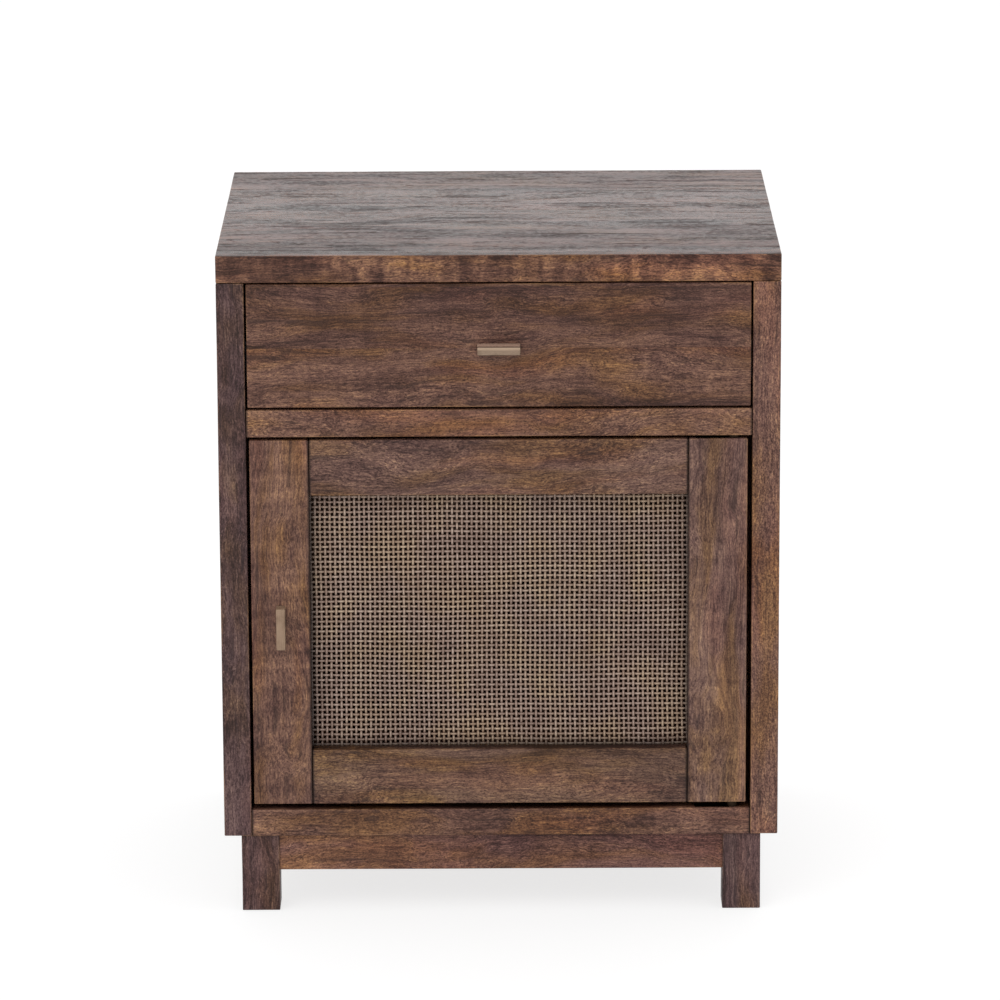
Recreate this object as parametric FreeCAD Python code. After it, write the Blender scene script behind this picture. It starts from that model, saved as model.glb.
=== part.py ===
import FreeCAD, Part
import os
from math import cos, pi, sin

# Bedside cabinet of solid wood: one drawer over a door with a woven cane panel, on four square legs.
# Millimetres. X runs to the right, Y from the front to the back, Z up. The origin lies on the floor under the
# middle of the overall footprint, which takes in the pulls in front of the case.

# Case boards and the two openings in the front
WIDTH = 500.0
SIDE_T = 25.0
TOP_T = 25.0
FLOOR_T = 25.0
DIVIDER_T = 25.0
DOOR_OPENING_H = 345.0
DRAWER_OPENING_H = 115.0
EASE = 0.8

# Back panel, set into a rebate and screwed to the sides
BACK_T = 6.0
BACK_LAP = 10.0
BACK_ROOM = 0.3
BACK_SCREW = (3.0, 1.5, 18.0)
BACK_SCREW_END = 40.0
BACK_SCREW_COUNT = 4

# Dowels in the case joints
DOWEL_R = 4.0
DOWEL_LONG = 20.0
DOWEL_SHORT = 12.0
DOWEL_TAPER = 1.0
DOWEL_EDGE = 60.0

# Base: legs, aprons and the screws that hold it to the case
LEG = 35.0
LEG_H = 72.0
LEG_INSET_SIDE = 15.0
LEG_INSET_END = 4.0
APRON_T = 20.0
APRON_H = 34.0
APRON_SET = 2.0
APRON_TENON_L = 8.0
APRON_TENON_T = 8.0
APRON_SHOULDER = 5.0
BASE_SCREW = (5.0, 2.5, 55.0)
BASE_SCREW_EDGE = 12.0
BASE_SCREW_SET = 21.0

# Drawer
FRONT_T = 22.0
DRAWER_GAP_SIDE = 1.5
DRAWER_GAP_TOP = 1.0
DRAWER_GAP_BOTTOM = 2.0
BOX_T = 12.0
BOX_H = 88.0
BOX_DEPTH = 340.0
BOX_BACK_ROOM = 32.0
BOX_LIFT = 8.0
BOX_HOUSING = 6.0
BOX_BACK_HOUSING = 4.0
BOX_BACK_INSET = 15.0
BOTTOM_T = 6.0
BOTTOM_LIFT = 8.0
BOTTOM_GROOVE = 5.0
DRAWER_TRAVEL = 200.0

# The case is as deep as the drawer, the room behind it and the back panel
CASE_DEPTH = FRONT_T + BOX_DEPTH + BOX_BACK_ROOM + BACK_T

# Ball runners of the drawer
RUNNER_SPACE = 12.7
RUNNER_L = 300.0
RUNNER_H = 35.0
RUNNER_SHEET = 1.2
RUNNER_SETBACK = 2.0
RUNNER_LIFT = 30.0
RUNNER_TIP_GAP = 1.5
RAIL_LIP = 1.6
SLIDE_LIP = 1.6
BALL_D = 4.7
BALL_ROOM = 0.3
BALLS_PER_RACE = 3
BALL_BANDS = 6
CAGE_SHEET = 0.8
CAGE_GAP = 0.5
CAGE_END_ROOM = 10.0
RAIL_SCREW = (3.0, 1.5, 14.0)
SLIDE_SCREW = (3.0, 1.5, 9.0)
RUNNER_SCREW_END = 30.0

# Bar pulls and their machine screws
PULL_L = 38.0
PULL_W = 8.0
PULL_OUT = 14.0
PULL_EASE = 0.6
PULL_DROP = 2.0
PULL_SCREW_R = 2.0
PULL_SCREW_BITE = 9.0
PULL_SCREW_SPACING = 22.0
PULL_SCREW_HEAD_R = 4.0
PULL_SCREW_HEAD_H = 2.4

# Door
DOOR_T = 22.0
DOOR_GAP_PULL_SIDE = 2.5
DOOR_GAP_HINGE_SIDE = 4.0
DOOR_GAP_TOP = 2.5
DOOR_GAP_BOTTOM = 5.0
STILE_W = 53.0
TOP_RAIL_H = 51.0
BOTTOM_RAIL_H = 51.0
DOOR_TENON_L = 12.0
DOOR_TENON_T = 7.0
DOOR_TENON_SET = 6.0
DOOR_SHOULDER = 10.0
REBATE_W = 10.0
REBATE_D = 6.5

# Cane panel in its rebate: an open net of strands, held by mitred beads
CANE_T = 1.5
CANE_ROOM = 0.5
CANE_COLUMNS = 20
CANE_ROWS = 14
CANE_STRAND = 6.0
BEAD_W = 9.0
BEAD_ROOM = 0.3

# Pivot hinges at the door's right edge
PIVOT_FROM_EDGE = 12.0
PIVOT_FROM_FRONT = 9.0
LEAF_T = 2.5
LEAF_W = 12.0
LEAF_REACH = 34.0
LEAF_ROOM = 0.15
LEAF_SCREW = (3.0, 1.5, 16.0)
LEAF_SCREW_AT = (12.0, 24.0)
PIN_R = 3.0
PIN_SEAT = 0.02
PIN_RUNNING = 0.05
PIN_REACH = 4.0
PIN_WELL_ROOM = 1.0
WASHER_R = 6.0
WASHER_ROOM = 0.1

# Magnetic catch under the divider and its strike on the door
CATCH_FROM_SIDE = 95.0
CATCH_W = 26.0
CATCH_DEPTH = 14.0
CATCH_H = 13.0
CATCH_EAR_W = 10.0
CATCH_EAR_T = 3.0
CATCH_SCREW = (3.0, 1.5, 14.0)
POLE_W = 20.0
POLE_T = 1.2
POLE_DEPTH = 10.0
POLE_OUT = 1.0
POLE_DROP = 8.5
MAGNET_T = 4.0
STRIKE_W = 30.0
STRIKE_H = 10.0
STRIKE_T = 1.5
STRIKE_GAP = 0.2
STRIKE_SCREW = (3.0, 1.5, 12.0)

# Fasteners and other small round pieces have flat sides; clearance round them and at the end of mortises
FACETS = 8
SCREW_POINT_R = 0.3
HOLE_ROOM = 0.15
MORTISE_ROOM = 1.0

# Places worked out from the sizes above
half_w = WIDTH / 2
inner_x = half_w - SIDE_T
front_y = (PULL_OUT - CASE_DEPTH) / 2
back_y = front_y + CASE_DEPTH
back_panel_y = back_y - BACK_T
floor_z = LEG_H + FLOOR_T
divider_z = floor_z + DOOR_OPENING_H
drawer_floor_z = divider_z + DIVIDER_T
under_top_z = drawer_floor_z + DRAWER_OPENING_H
top_z = under_top_z + TOP_T


def save(node, *solids):
    """Write one piece, or a group of like pieces, under its name."""
    shape = solids[0] if len(solids) == 1 else Part.makeCompound(list(solids))
    shape.exportStep(f"parts/{node}.step")


def block(xs, ys, zs):
    """Box between a low and a high limit along each axis."""
    spans = [high - low for low, high in (xs, ys, zs)]
    return Part.makeBox(*spans, FreeCAD.Vector(xs[0], ys[0], zs[0]))


def board(xs, ys, zs):
    """Box with every edge broken, as on a sanded board."""
    solid = block(xs, ys, zs)
    return solid.makeChamfer(EASE, solid.Edges)


def mirrored(solid):
    """The left-hand twin of a right-hand piece."""
    return solid.mirror(FreeCAD.Vector(0, 0, 0), FreeCAD.Vector(1, 0, 0))


def both_sides(solids):
    """Right-hand pieces together with their left-hand twins."""
    return solids + [mirrored(solid) for solid in solids]


def wider(span, margin):
    """A span with the same margin added at both ends."""
    return span[0] - margin, span[1] + margin


def polygon_face(points):
    """Flat face with straight edges through points."""
    return Part.Face(Part.makePolygon(points + points[:1]))


def faceted(rings, at, along):
    """Small round piece with flat sides through (radius, distance) rings, along a direction from a point."""
    turns = [2 * pi * n / FACETS for n in range(FACETS)]
    loops = [[FreeCAD.Vector(r * cos(a), r * sin(a), distance) for a in turns] for r, distance in rings]
    faces = [polygon_face(loops[0]), polygon_face(loops[-1])]
    for low, high in zip(loops, loops[1:]):
        faces += [polygon_face([low[n - 1], low[n], high[n], high[n - 1]]) for n in range(FACETS)]
    solid = Part.makeSolid(Part.makeShell(faces))
    turn = FreeCAD.Rotation(FreeCAD.Vector(0, 0, 1), FreeCAD.Vector(*along))
    solid.Placement = FreeCAD.Placement(FreeCAD.Vector(*at), turn)
    return solid


def flat_screw(size, at, along, room=0.0):
    """Countersunk screw of (head radius, shank radius, length), or with room the hole that it sits in."""
    head_r, shank_r, length = size
    sink = head_r - shank_r
    end = length + room
    shaft = shank_r + room
    rings = [(head_r + room, 0), (shaft, sink), (shaft, end - shank_r), (SCREW_POINT_R, end)]
    return faceted(rings, at, along)


def flat_screws(size, places, along):
    """A row of equal screws and the holes that they sit in."""
    screws = [flat_screw(size, place, along) for place in places]
    holes = [flat_screw(size, place, along, HOLE_ROOM) for place in places]
    return screws, holes


def dowel(at, along, room=0.0):
    """Dowel whose long end lies at a point, or with room the hole drilled for it."""
    radius = DOWEL_R + room
    end = DOWEL_LONG + DOWEL_SHORT + room
    if room:
        return faceted([(radius, -room), (radius, end)], at, along)
    tip = radius - DOWEL_TAPER
    return faceted([(tip, 0), (radius, DOWEL_TAPER), (radius, end - DOWEL_TAPER), (tip, end)], at, along)


def prism_xz(points, ys):
    """Outline in X and Z, given as points, extruded along Y."""
    face = polygon_face([FreeCAD.Vector(x, ys[0], z) for x, z in points])
    return face.extrude(FreeCAD.Vector(0, ys[1] - ys[0], 0))


# Dowels between the sides and the top, the bottom board and the divider
dowel_ys = (front_y + DOWEL_EDGE, back_panel_y - DOWEL_EDGE)
dowel_x = inner_x - DOWEL_LONG
side_mid_x = half_w - SIDE_T / 2
floor_mid_z = LEG_H + FLOOR_T / 2
divider_mid_z = divider_z + DIVIDER_T / 2
RIGHTWARD = (1, 0, 0)
BACKWARD = (0, 1, 0)
FORWARD = (0, -1, 0)
UPWARD = (0, 0, 1)
DOWNWARD = (0, 0, -1)
dowel_places = [((side_mid_x, y, under_top_z - DOWEL_LONG), UPWARD) for y in dowel_ys]
dowel_places += [((dowel_x, y, z), RIGHTWARD) for y in dowel_ys for z in (floor_mid_z, divider_mid_z)]
dowels = [dowel(at, along) for at, along in dowel_places]
dowel_holes = both_sides([dowel(at, along, HOLE_ROOM) for at, along in dowel_places])
save("case_dowels", *both_sides(dowels))

# Screws that hold the back panel to the sides
back_screw_low = LEG_H + BACK_SCREW_END
back_screw_step = (under_top_z - BACK_SCREW_END - back_screw_low) / (BACK_SCREW_COUNT - 1)
back_screw_x = inner_x + BACK_LAP / 2
back_places = [(back_screw_x, back_y, back_screw_low + n * back_screw_step) for n in range(BACK_SCREW_COUNT)]
back_screws, back_screw_holes = flat_screws(BACK_SCREW, back_places, FORWARD)
save("back_panel_screws", *both_sides(back_screws))

# Back panel in its rebate
rebate_x = inner_x + BACK_LAP
rebate_top_z = under_top_z + BACK_LAP
back_zs = (LEG_H + BACK_ROOM, rebate_top_z - BACK_ROOM)
back_panel = block(wider((-rebate_x, rebate_x), -BACK_ROOM), (back_panel_y, back_y), back_zs)
save("back_panel", back_panel.cut(both_sides(back_screw_holes)))

# Top board, flush with the sides all round
top = board((-half_w, half_w), (front_y, back_y), (under_top_z, top_z))
top = top.cut(block((-rebate_x, rebate_x), (back_panel_y, back_y), (under_top_z, rebate_top_z)))
save("top_panel", top.cut(dowel_holes))

# Case rails of the drawer runners are screwed to the inside of the sides
drawer_back_of_front = front_y + FRONT_T
drawer_z = drawer_floor_z + DRAWER_GAP_BOTTOM
box_z = drawer_z + BOX_LIFT
runner_z = box_z + RUNNER_LIFT
runner_y = drawer_back_of_front + RUNNER_SETBACK
runner_ys = (runner_y, runner_y + RUNNER_L)
runner_screw_ys = wider(runner_ys, -RUNNER_SCREW_END)
rail_face_x = inner_x - RUNNER_SHEET
rail_places = [(rail_face_x, y, runner_z) for y in runner_screw_ys]
rail_screws, rail_holes = flat_screws(RAIL_SCREW, rail_places, RIGHTWARD)
save("runner_rail_screws", *both_sides(rail_screws))

# Side boards under the top, with the rebate for the back panel
side = board((inner_x, half_w), (front_y, back_y), (LEG_H, under_top_z))
side = side.cut(block((inner_x, rebate_x), (back_panel_y, back_y), (LEG_H, under_top_z)))
side = side.cut(dowel_holes + back_screw_holes + rail_holes)
save("right_side_panel", side)
save("left_side_panel", mirrored(side))

# Screws driven down through the bottom board into the legs
leg_xs = (half_w - LEG_INSET_SIDE - LEG, half_w - LEG_INSET_SIDE)
front_leg_ys = (front_y + LEG_INSET_END, front_y + LEG_INSET_END + LEG)
back_leg_ys = (back_y - LEG_INSET_END - LEG, back_y - LEG_INSET_END)
base_screw_x = inner_x - BASE_SCREW_EDGE
base_screw_ys = (front_leg_ys[0] + BASE_SCREW_SET, back_leg_ys[1] - BASE_SCREW_SET)
base_places = [(base_screw_x, y, floor_z) for y in base_screw_ys]
base_screws, base_holes = flat_screws(BASE_SCREW, base_places, DOWNWARD)
save("base_screws", *both_sides(base_screws))

# Aprons with a stub tenon at each end
apron_zs = (LEG_H - APRON_H, LEG_H)
apron_tenon_zs = wider(apron_zs, -APRON_SHOULDER)
tenon_inset = (APRON_T - APRON_TENON_T) / 2
apron_front_ys = (front_leg_ys[0] + APRON_SET, front_leg_ys[0] + APRON_SET + APRON_T)
apron_back_ys = (back_leg_ys[1] - APRON_SET - APRON_T, back_leg_ys[1] - APRON_SET)
apron_side_xs = (leg_xs[1] - APRON_SET - APRON_T, leg_xs[1] - APRON_SET)
apron_long_xs = (-leg_xs[0], leg_xs[0])
apron_side_ys = (front_leg_ys[1], back_leg_ys[0])


def apron_tenons(xs, ys, along_x, room=0.0):
    """Bar through an apron whose two ends are its tenons, or with room the mortises for them."""
    reach = APRON_TENON_L + room
    if along_x:
        return block(wider(xs, reach), wider(ys, -tenon_inset), apron_tenon_zs)
    return block(wider(xs, -tenon_inset), wider(ys, reach), apron_tenon_zs)


def apron(xs, ys, along_x):
    """Apron board with its tenons."""
    return board(xs, ys, apron_zs).fuse(apron_tenons(xs, ys, along_x)).removeSplitter()


side_apron = apron(apron_side_xs, apron_side_ys, False)
save("front_apron", apron(apron_long_xs, apron_front_ys, True))
save("back_apron", apron(apron_long_xs, apron_back_ys, True))
save("right_apron", side_apron)
save("left_apron", mirrored(side_apron))

# Legs, mortised for the aprons
side_mortise = apron_tenons(apron_side_xs, apron_side_ys, False, MORTISE_ROOM)
leg_places = (("front", front_leg_ys, apron_front_ys), ("back", back_leg_ys, apron_back_ys))
for place, leg_ys, apron_ys in leg_places:
    leg = board(leg_xs, leg_ys, (0, LEG_H))
    leg = leg.cut([side_mortise, apron_tenons(apron_long_xs, apron_ys, True, MORTISE_ROOM)] + base_holes)
    save(f"{place}_right_leg", leg)
    save(f"{place}_left_leg", mirrored(leg))

# Door outline inside its opening
door_xs = (-inner_x + DOOR_GAP_PULL_SIDE, inner_x - DOOR_GAP_HINGE_SIDE)
door_ys = (front_y, front_y + DOOR_T)
door_zs = (floor_z + DOOR_GAP_BOTTOM, divider_z - DOOR_GAP_TOP)
pivot_x = door_xs[1] - PIVOT_FROM_EDGE
pivot_y = front_y + PIVOT_FROM_FRONT


def leaf_body(low_z, room=0.0):
    """Plate whose rounded end is centred on the pivot, or with room the recess cut for it."""
    radius = LEAF_W / 2 + room
    tail_x = pivot_x - LEAF_REACH - room
    near_back = FreeCAD.Vector(pivot_x, pivot_y + radius, low_z)
    far_back = FreeCAD.Vector(tail_x, pivot_y + radius, low_z)
    far_front = FreeCAD.Vector(tail_x, pivot_y - radius, low_z)
    near_front = FreeCAD.Vector(pivot_x, pivot_y - radius, low_z)
    tip = FreeCAD.Vector(pivot_x + radius, pivot_y, low_z)
    outline = [Part.LineSegment(near_back, far_back), Part.LineSegment(far_back, far_front)]
    outline += [Part.LineSegment(far_front, near_front), Part.Arc(near_front, tip, near_back)]
    wire = Part.Wire([curve.toShape() for curve in outline])
    return Part.Face(wire).extrude(FreeCAD.Vector(0, 0, LEAF_T))


def pivot_cylinder(radius, zs):
    """Upright cylinder on the pivot axis."""
    return Part.makeCylinder(radius, zs[1] - zs[0], FreeCAD.Vector(pivot_x, pivot_y, zs[0]))


def pivot_leaf(face_z, inward, pin_room):
    """Leaf let in flush at a face, with its screws and what is cut from the wood for both."""
    low_z = face_z if inward == UPWARD else face_z - LEAF_T
    places = [(pivot_x - reach, pivot_y, face_z) for reach in LEAF_SCREW_AT]
    screws, holes = flat_screws(LEAF_SCREW, places, inward)
    leaf = leaf_body(low_z).cut(holes + [pivot_cylinder(PIN_R + pin_room, (low_z, low_z + LEAF_T))])
    return leaf, screws, holes + [leaf_body(low_z, LEAF_ROOM)]


# Hinge leaves in the divider, the bottom board and both ends of the door, with their pins and washers
upper_case_leaf, upper_case_screws, divider_cuts = pivot_leaf(divider_z, UPWARD, PIN_SEAT)
lower_case_leaf, lower_case_screws, floor_cuts = pivot_leaf(floor_z, DOWNWARD, PIN_SEAT)
upper_door_leaf, upper_door_screws, stile_top_cuts = pivot_leaf(door_zs[1], DOWNWARD, PIN_RUNNING)
lower_door_leaf, lower_door_screws, stile_bottom_cuts = pivot_leaf(door_zs[0], UPWARD, PIN_RUNNING)
upper_pin_zs = (door_zs[1] - LEAF_T - PIN_REACH, divider_z + LEAF_T)
lower_pin_zs = (floor_z - LEAF_T, door_zs[0] + LEAF_T + PIN_REACH)
washer_bore = PIN_R + WASHER_ROOM
washer_spans = ((door_zs[1] + WASHER_ROOM, divider_z), (floor_z, door_zs[0]))
washers = [pivot_cylinder(WASHER_R, zs).cut(pivot_cylinder(washer_bore, zs)) for zs in washer_spans]
well_r = PIN_R + PIN_WELL_ROOM
well_spans = [wider(zs, MORTISE_ROOM) for zs in (upper_pin_zs, lower_pin_zs)]
well_rings = [[(well_r, z) for z in span] for span in well_spans]
pin_wells = [faceted(rings, (pivot_x, pivot_y, 0), UPWARD) for rings in well_rings]
save("upper_case_hinge_leaf", upper_case_leaf)
save("lower_case_hinge_leaf", lower_case_leaf)
save("upper_door_hinge_leaf", upper_door_leaf)
save("lower_door_hinge_leaf", lower_door_leaf)
save("case_hinge_screws", *upper_case_screws, *lower_case_screws)
save("door_hinge_screws", *upper_door_screws, *lower_door_screws)
save("upper_hinge_pin", pivot_cylinder(PIN_R, upper_pin_zs))
save("lower_hinge_pin", pivot_cylinder(PIN_R, lower_pin_zs))
save("hinge_washers", *washers)

# Magnetic catch: a housing with two ears under the divider, its pole pieces standing out towards the door
catch_x = CATCH_FROM_SIDE - inner_x
strike_y = door_ys[1] + STRIKE_T
pole_y = strike_y + STRIKE_GAP
catch_ys = (pole_y + POLE_OUT, pole_y + POLE_OUT + CATCH_DEPTH)
catch_half = CATCH_W / 2
ear_half = catch_half + CATCH_EAR_W
ear_z = divider_z - CATCH_EAR_T
catch_low_z = divider_z - CATCH_H
catch_right = [(ear_half, divider_z), (ear_half, ear_z), (catch_half, ear_z), (catch_half, catch_low_z)]
catch_outline = catch_right + [(-x, z) for x, z in reversed(catch_right)]
pole_mid_z = divider_z - POLE_DROP
pole_xs = wider((catch_x, catch_x), POLE_W / 2)
pole_ys = (pole_y, pole_y + POLE_DEPTH)
magnet_ys = (catch_ys[0], pole_ys[1])
magnet_zs = wider((pole_mid_z, pole_mid_z), MAGNET_T / 2)
pole_pack_zs = wider(magnet_zs, POLE_T)
magnet = block(pole_xs, magnet_ys, magnet_zs)
upper_pole = block(pole_xs, pole_ys, (magnet_zs[1], pole_pack_zs[1]))
lower_pole = block(pole_xs, pole_ys, (pole_pack_zs[0], magnet_zs[0]))
ear_mid = catch_half + CATCH_EAR_W / 2
catch_mid_y = sum(catch_ys) / 2
catch_places = [(catch_x + offset, catch_mid_y, ear_z) for offset in (-ear_mid, ear_mid)]
catch_screws, catch_holes = flat_screws(CATCH_SCREW, catch_places, UPWARD)
catch = prism_xz([(catch_x + x, z) for x, z in catch_outline], catch_ys)
save("magnetic_catch", catch.cut(catch_holes + [block(pole_xs, pole_ys, pole_pack_zs)]))
save("catch_magnet", upper_pole, magnet, lower_pole)
save("catch_screws", *catch_screws)

# Bottom board and divider, between the sides and in front of the back panel
floor_board = board((-inner_x, inner_x), (front_y, back_panel_y), (LEG_H, floor_z))
save("bottom_panel", floor_board.cut(dowel_holes + both_sides(base_holes) + floor_cuts))
divider = board((-inner_x, inner_x), (front_y, back_panel_y), (divider_z, drawer_floor_z))
save("drawer_divider", divider.cut(dowel_holes + divider_cuts + catch_holes))

# Drawer box outline behind its front
drawer_xs = wider((-inner_x, inner_x), -DRAWER_GAP_SIDE)
drawer_zs = (drawer_z, under_top_z - DRAWER_GAP_TOP)
box_x = inner_x - RUNNER_SPACE
box_inner_x = box_x - BOX_T
box_zs = (box_z, box_z + BOX_H)
box_end_y = drawer_back_of_front + BOX_DEPTH
box_back_ys = (box_end_y - BOX_BACK_INSET - BOX_T, box_end_y - BOX_BACK_INSET)
bottom_zs = (box_z + BOTTOM_LIFT, box_z + BOTTOM_LIFT + BOTTOM_T)
bottom_xs = wider((-box_inner_x, box_inner_x), BOTTOM_GROOVE)
back_xs = wider((-box_inner_x, box_inner_x), BOX_BACK_HOUSING)


def channel(face_x, depth, height, sheet, lip, lip_side):
    """Section of a folded steel channel, its web on a face and its lips turned in (-1) or out (+1)."""
    half = height / 2
    inward = sheet if depth > 0 else -sheet
    web_x = face_x + inward
    tip_x = face_x + depth
    fold_x = tip_x - inward
    inside = half - sheet
    lip_z = inside - lip if lip_side < 0 else half + lip
    if lip_side < 0:
        upper = [(face_x, half), (tip_x, half), (tip_x, lip_z), (fold_x, lip_z), (fold_x, inside)]
    else:
        upper = [(face_x, half), (fold_x, half), (fold_x, lip_z), (tip_x, lip_z), (tip_x, inside)]
    upper.append((web_x, inside))
    lower = [(x, -z) for x, z in reversed(upper)]
    return [(x, z + runner_z) for x, z in upper + lower]


# Runners: rail on the case, slide on the drawer, and between them a cage of balls in each race
cage_web_x = rail_face_x - CAGE_GAP
cage_inner_x = cage_web_x - CAGE_SHEET
slide_tip_x = cage_inner_x - CAGE_GAP
rail_depth = RUNNER_SPACE - RUNNER_TIP_GAP
slide_face_x = box_x + RUNNER_SHEET
slide_h = RUNNER_H - 2 * (RUNNER_SHEET + BALL_D + 2 * BALL_ROOM)
rail_section = channel(inner_x, -rail_depth, RUNNER_H, RUNNER_SHEET, RAIL_LIP, -1)
slide_section = channel(box_x, slide_tip_x - box_x, slide_h, RUNNER_SHEET, SLIDE_LIP, 1)
slide_places = [(slide_face_x, y, runner_z) for y in runner_screw_ys]
slide_screws, slide_holes = flat_screws(SLIDE_SCREW, slide_places, (-1, 0, 0))
rail = prism_xz(rail_section, runner_ys).cut(rail_holes)
slide = prism_xz(slide_section, runner_ys).cut(slide_holes)
save("right_runner_rail", rail)
save("left_runner_rail", mirrored(rail))
save("right_runner_slide", slide)
save("left_runner_slide", mirrored(slide))
save("runner_slide_screws", *both_sides(slide_screws))

# Ball cage: a folded strip round the slide, as long as the rail and slide still overlap with the drawer open
race_z = RUNNER_H / 2 - RUNNER_SHEET - BALL_ROOM - BALL_D / 2
cage_tip_x = inner_x - rail_depth + CAGE_GAP
cage_mid_y = sum(runner_ys) / 2
cage_half = (RUNNER_L - DRAWER_TRAVEL) / 2 - CAGE_END_ROOM
cage_h = 2 * race_z + CAGE_SHEET
cage_outline = [(cage_web_x, cage_h / 2), (cage_tip_x, cage_h / 2), (cage_tip_x, cage_h / 2 - CAGE_SHEET)]
cage_outline.append((cage_inner_x, cage_h / 2 - CAGE_SHEET))
cage_outline += [(x, -z) for x, z in reversed(cage_outline)]
cage = prism_xz([(x, z + runner_z) for x, z in cage_outline], wider((cage_mid_y, cage_mid_y), cage_half))
ball_x = (cage_inner_x + cage_tip_x) / 2
ball_pitch = 2 * cage_half / BALLS_PER_RACE
ball_ys = [cage_mid_y + (n - (BALLS_PER_RACE - 1) / 2) * ball_pitch for n in range(BALLS_PER_RACE)]
ball_centres = [(ball_x, y, runner_z + side * race_z) for y in ball_ys for side in (-1, 1)]
ball_r = BALL_D / 2
ball_bands = [pi * (n + 0.5) / BALL_BANDS for n in range(BALL_BANDS)]
ball_rings = [(ball_r * sin(a), -ball_r * cos(a)) for a in ball_bands]
balls = [faceted(ball_rings, centre, UPWARD) for centre in ball_centres]
ball_hole_rings = [(ball_r + BALL_ROOM, -CAGE_SHEET), (ball_r + BALL_ROOM, CAGE_SHEET)]
cage = cage.cut([faceted(ball_hole_rings, centre, UPWARD) for centre in ball_centres])
save("right_ball_cage", cage)
save("left_ball_cage", mirrored(cage))
save("runner_balls", *both_sides(balls))


def pull_bar(xs, zs):
    """Solid brass bar standing out from the front, its free edges broken."""
    bar = block(xs, (front_y - PULL_OUT, front_y), zs)
    free = [edge for edge in bar.Edges if edge.BoundBox.YMin < front_y - PULL_OUT / 2]
    return bar.makeChamfer(PULL_EASE, free)


def pull_screw(x, z, wood_t, room=0.0):
    """Machine screw from behind the wood into the bar, or with room the hole through both."""
    at = (x, front_y + wood_t, z)
    shank = PULL_SCREW_R + room
    end = wood_t + PULL_SCREW_BITE + room
    head = PULL_SCREW_HEAD_R
    return faceted([(head, -PULL_SCREW_HEAD_H), (head, 0), (shank, 0), (shank, end)], at, FORWARD)


# Drawer pull across the middle of the front
pull_offsets = (-PULL_SCREW_SPACING / 2, PULL_SCREW_SPACING / 2)
drawer_pull_z = sum(drawer_zs) / 2 - PULL_DROP
drawer_pull_zs = wider((drawer_pull_z, drawer_pull_z), PULL_W / 2)
drawer_pull = pull_bar((-PULL_L / 2, PULL_L / 2), drawer_pull_zs)
drawer_pull_holes = [pull_screw(x, drawer_pull_z, FRONT_T, HOLE_ROOM) for x in pull_offsets]
save("drawer_pull", drawer_pull.cut(drawer_pull_holes))
save("drawer_pull_screws", *[pull_screw(x, drawer_pull_z, FRONT_T) for x in pull_offsets])

# Drawer front, housed for the sides and grooved for the bottom
housing_ys = (drawer_back_of_front - BOX_HOUSING, drawer_back_of_front)
side_ys = (housing_ys[0], box_end_y)
side_housing = block((box_inner_x, box_x), housing_ys, box_zs)
bottom_ys = (drawer_back_of_front - BOTTOM_GROOVE, box_back_ys[1])
drawer_bottom = block(bottom_xs, bottom_ys, bottom_zs)
drawer_front = board(drawer_xs, (front_y, drawer_back_of_front), drawer_zs)
save("drawer_front", drawer_front.cut(both_sides([side_housing]) + [drawer_bottom] + drawer_pull_holes))

# Drawer sides, back and bottom
drawer_back = board(back_xs, box_back_ys, (bottom_zs[1], box_zs[1]))
groove = block((box_inner_x, bottom_xs[1]), side_ys, bottom_zs)
back_housing = block((box_inner_x, back_xs[1]), box_back_ys, (bottom_zs[1], box_zs[1]))
drawer_side = board((box_inner_x, box_x), side_ys, box_zs).cut([groove, back_housing] + slide_holes)
save("right_drawer_side", drawer_side)
save("left_drawer_side", mirrored(drawer_side))
save("drawer_back", drawer_back)
save("drawer_bottom", drawer_bottom)

# Door frame: stiles run the full height, rails between them, all rebated behind for the cane
open_xs = wider(door_xs, -STILE_W)
open_zs = (door_zs[0] + BOTTOM_RAIL_H, door_zs[1] - TOP_RAIL_H)
rebate_ys = (door_ys[1] - REBATE_D, door_ys[1])
door_rebate = block(wider(open_xs, REBATE_W), rebate_ys, wider(open_zs, REBATE_W))
tenon_ys = (front_y + DOOR_TENON_SET, front_y + DOOR_TENON_SET + DOOR_TENON_T)
rail_spans = {"top_rail": (open_zs[1], door_zs[1]), "bottom_rail": (door_zs[0], open_zs[0])}


def door_tenons(zs, room=0.0):
    """Bar through a door rail whose two ends are its tenons, or with room the mortises for them."""
    return block(wider(open_xs, DOOR_TENON_L + room), tenon_ys, wider(zs, -DOOR_SHOULDER))


# Strike plate on the back of the top rail, facing the catch
strike_xs = wider((catch_x, catch_x), STRIKE_W / 2)
strike_zs = wider((pole_mid_z, pole_mid_z), STRIKE_H / 2)
strike_screws, strike_holes = flat_screws(STRIKE_SCREW, [(catch_x, strike_y, pole_mid_z)], FORWARD)
strike = block(strike_xs, (door_ys[1], strike_y), strike_zs)
save("strike_plate", strike.cut(strike_holes))
save("strike_screw", *strike_screws)

for node, zs in rail_spans.items():
    rail_board = board(open_xs, door_ys, zs).fuse(door_tenons(zs)).removeSplitter()
    save(node, rail_board.cut([door_rebate] + strike_holes))

# Door pull, upright on the left stile
door_pull_x = door_xs[0] + STILE_W / 2
door_pull_z = sum(door_zs) / 2 - PULL_DROP
door_pull_zs = wider((door_pull_z, door_pull_z), PULL_L / 2)
door_pull = pull_bar(wider((door_pull_x, door_pull_x), PULL_W / 2), door_pull_zs)
door_pull_heights = [door_pull_z + offset for offset in pull_offsets]
door_pull_holes = [pull_screw(door_pull_x, z, DOOR_T, HOLE_ROOM) for z in door_pull_heights]
save("door_pull", door_pull.cut(door_pull_holes))
save("door_pull_screws", *[pull_screw(door_pull_x, z, DOOR_T) for z in door_pull_heights])

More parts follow.
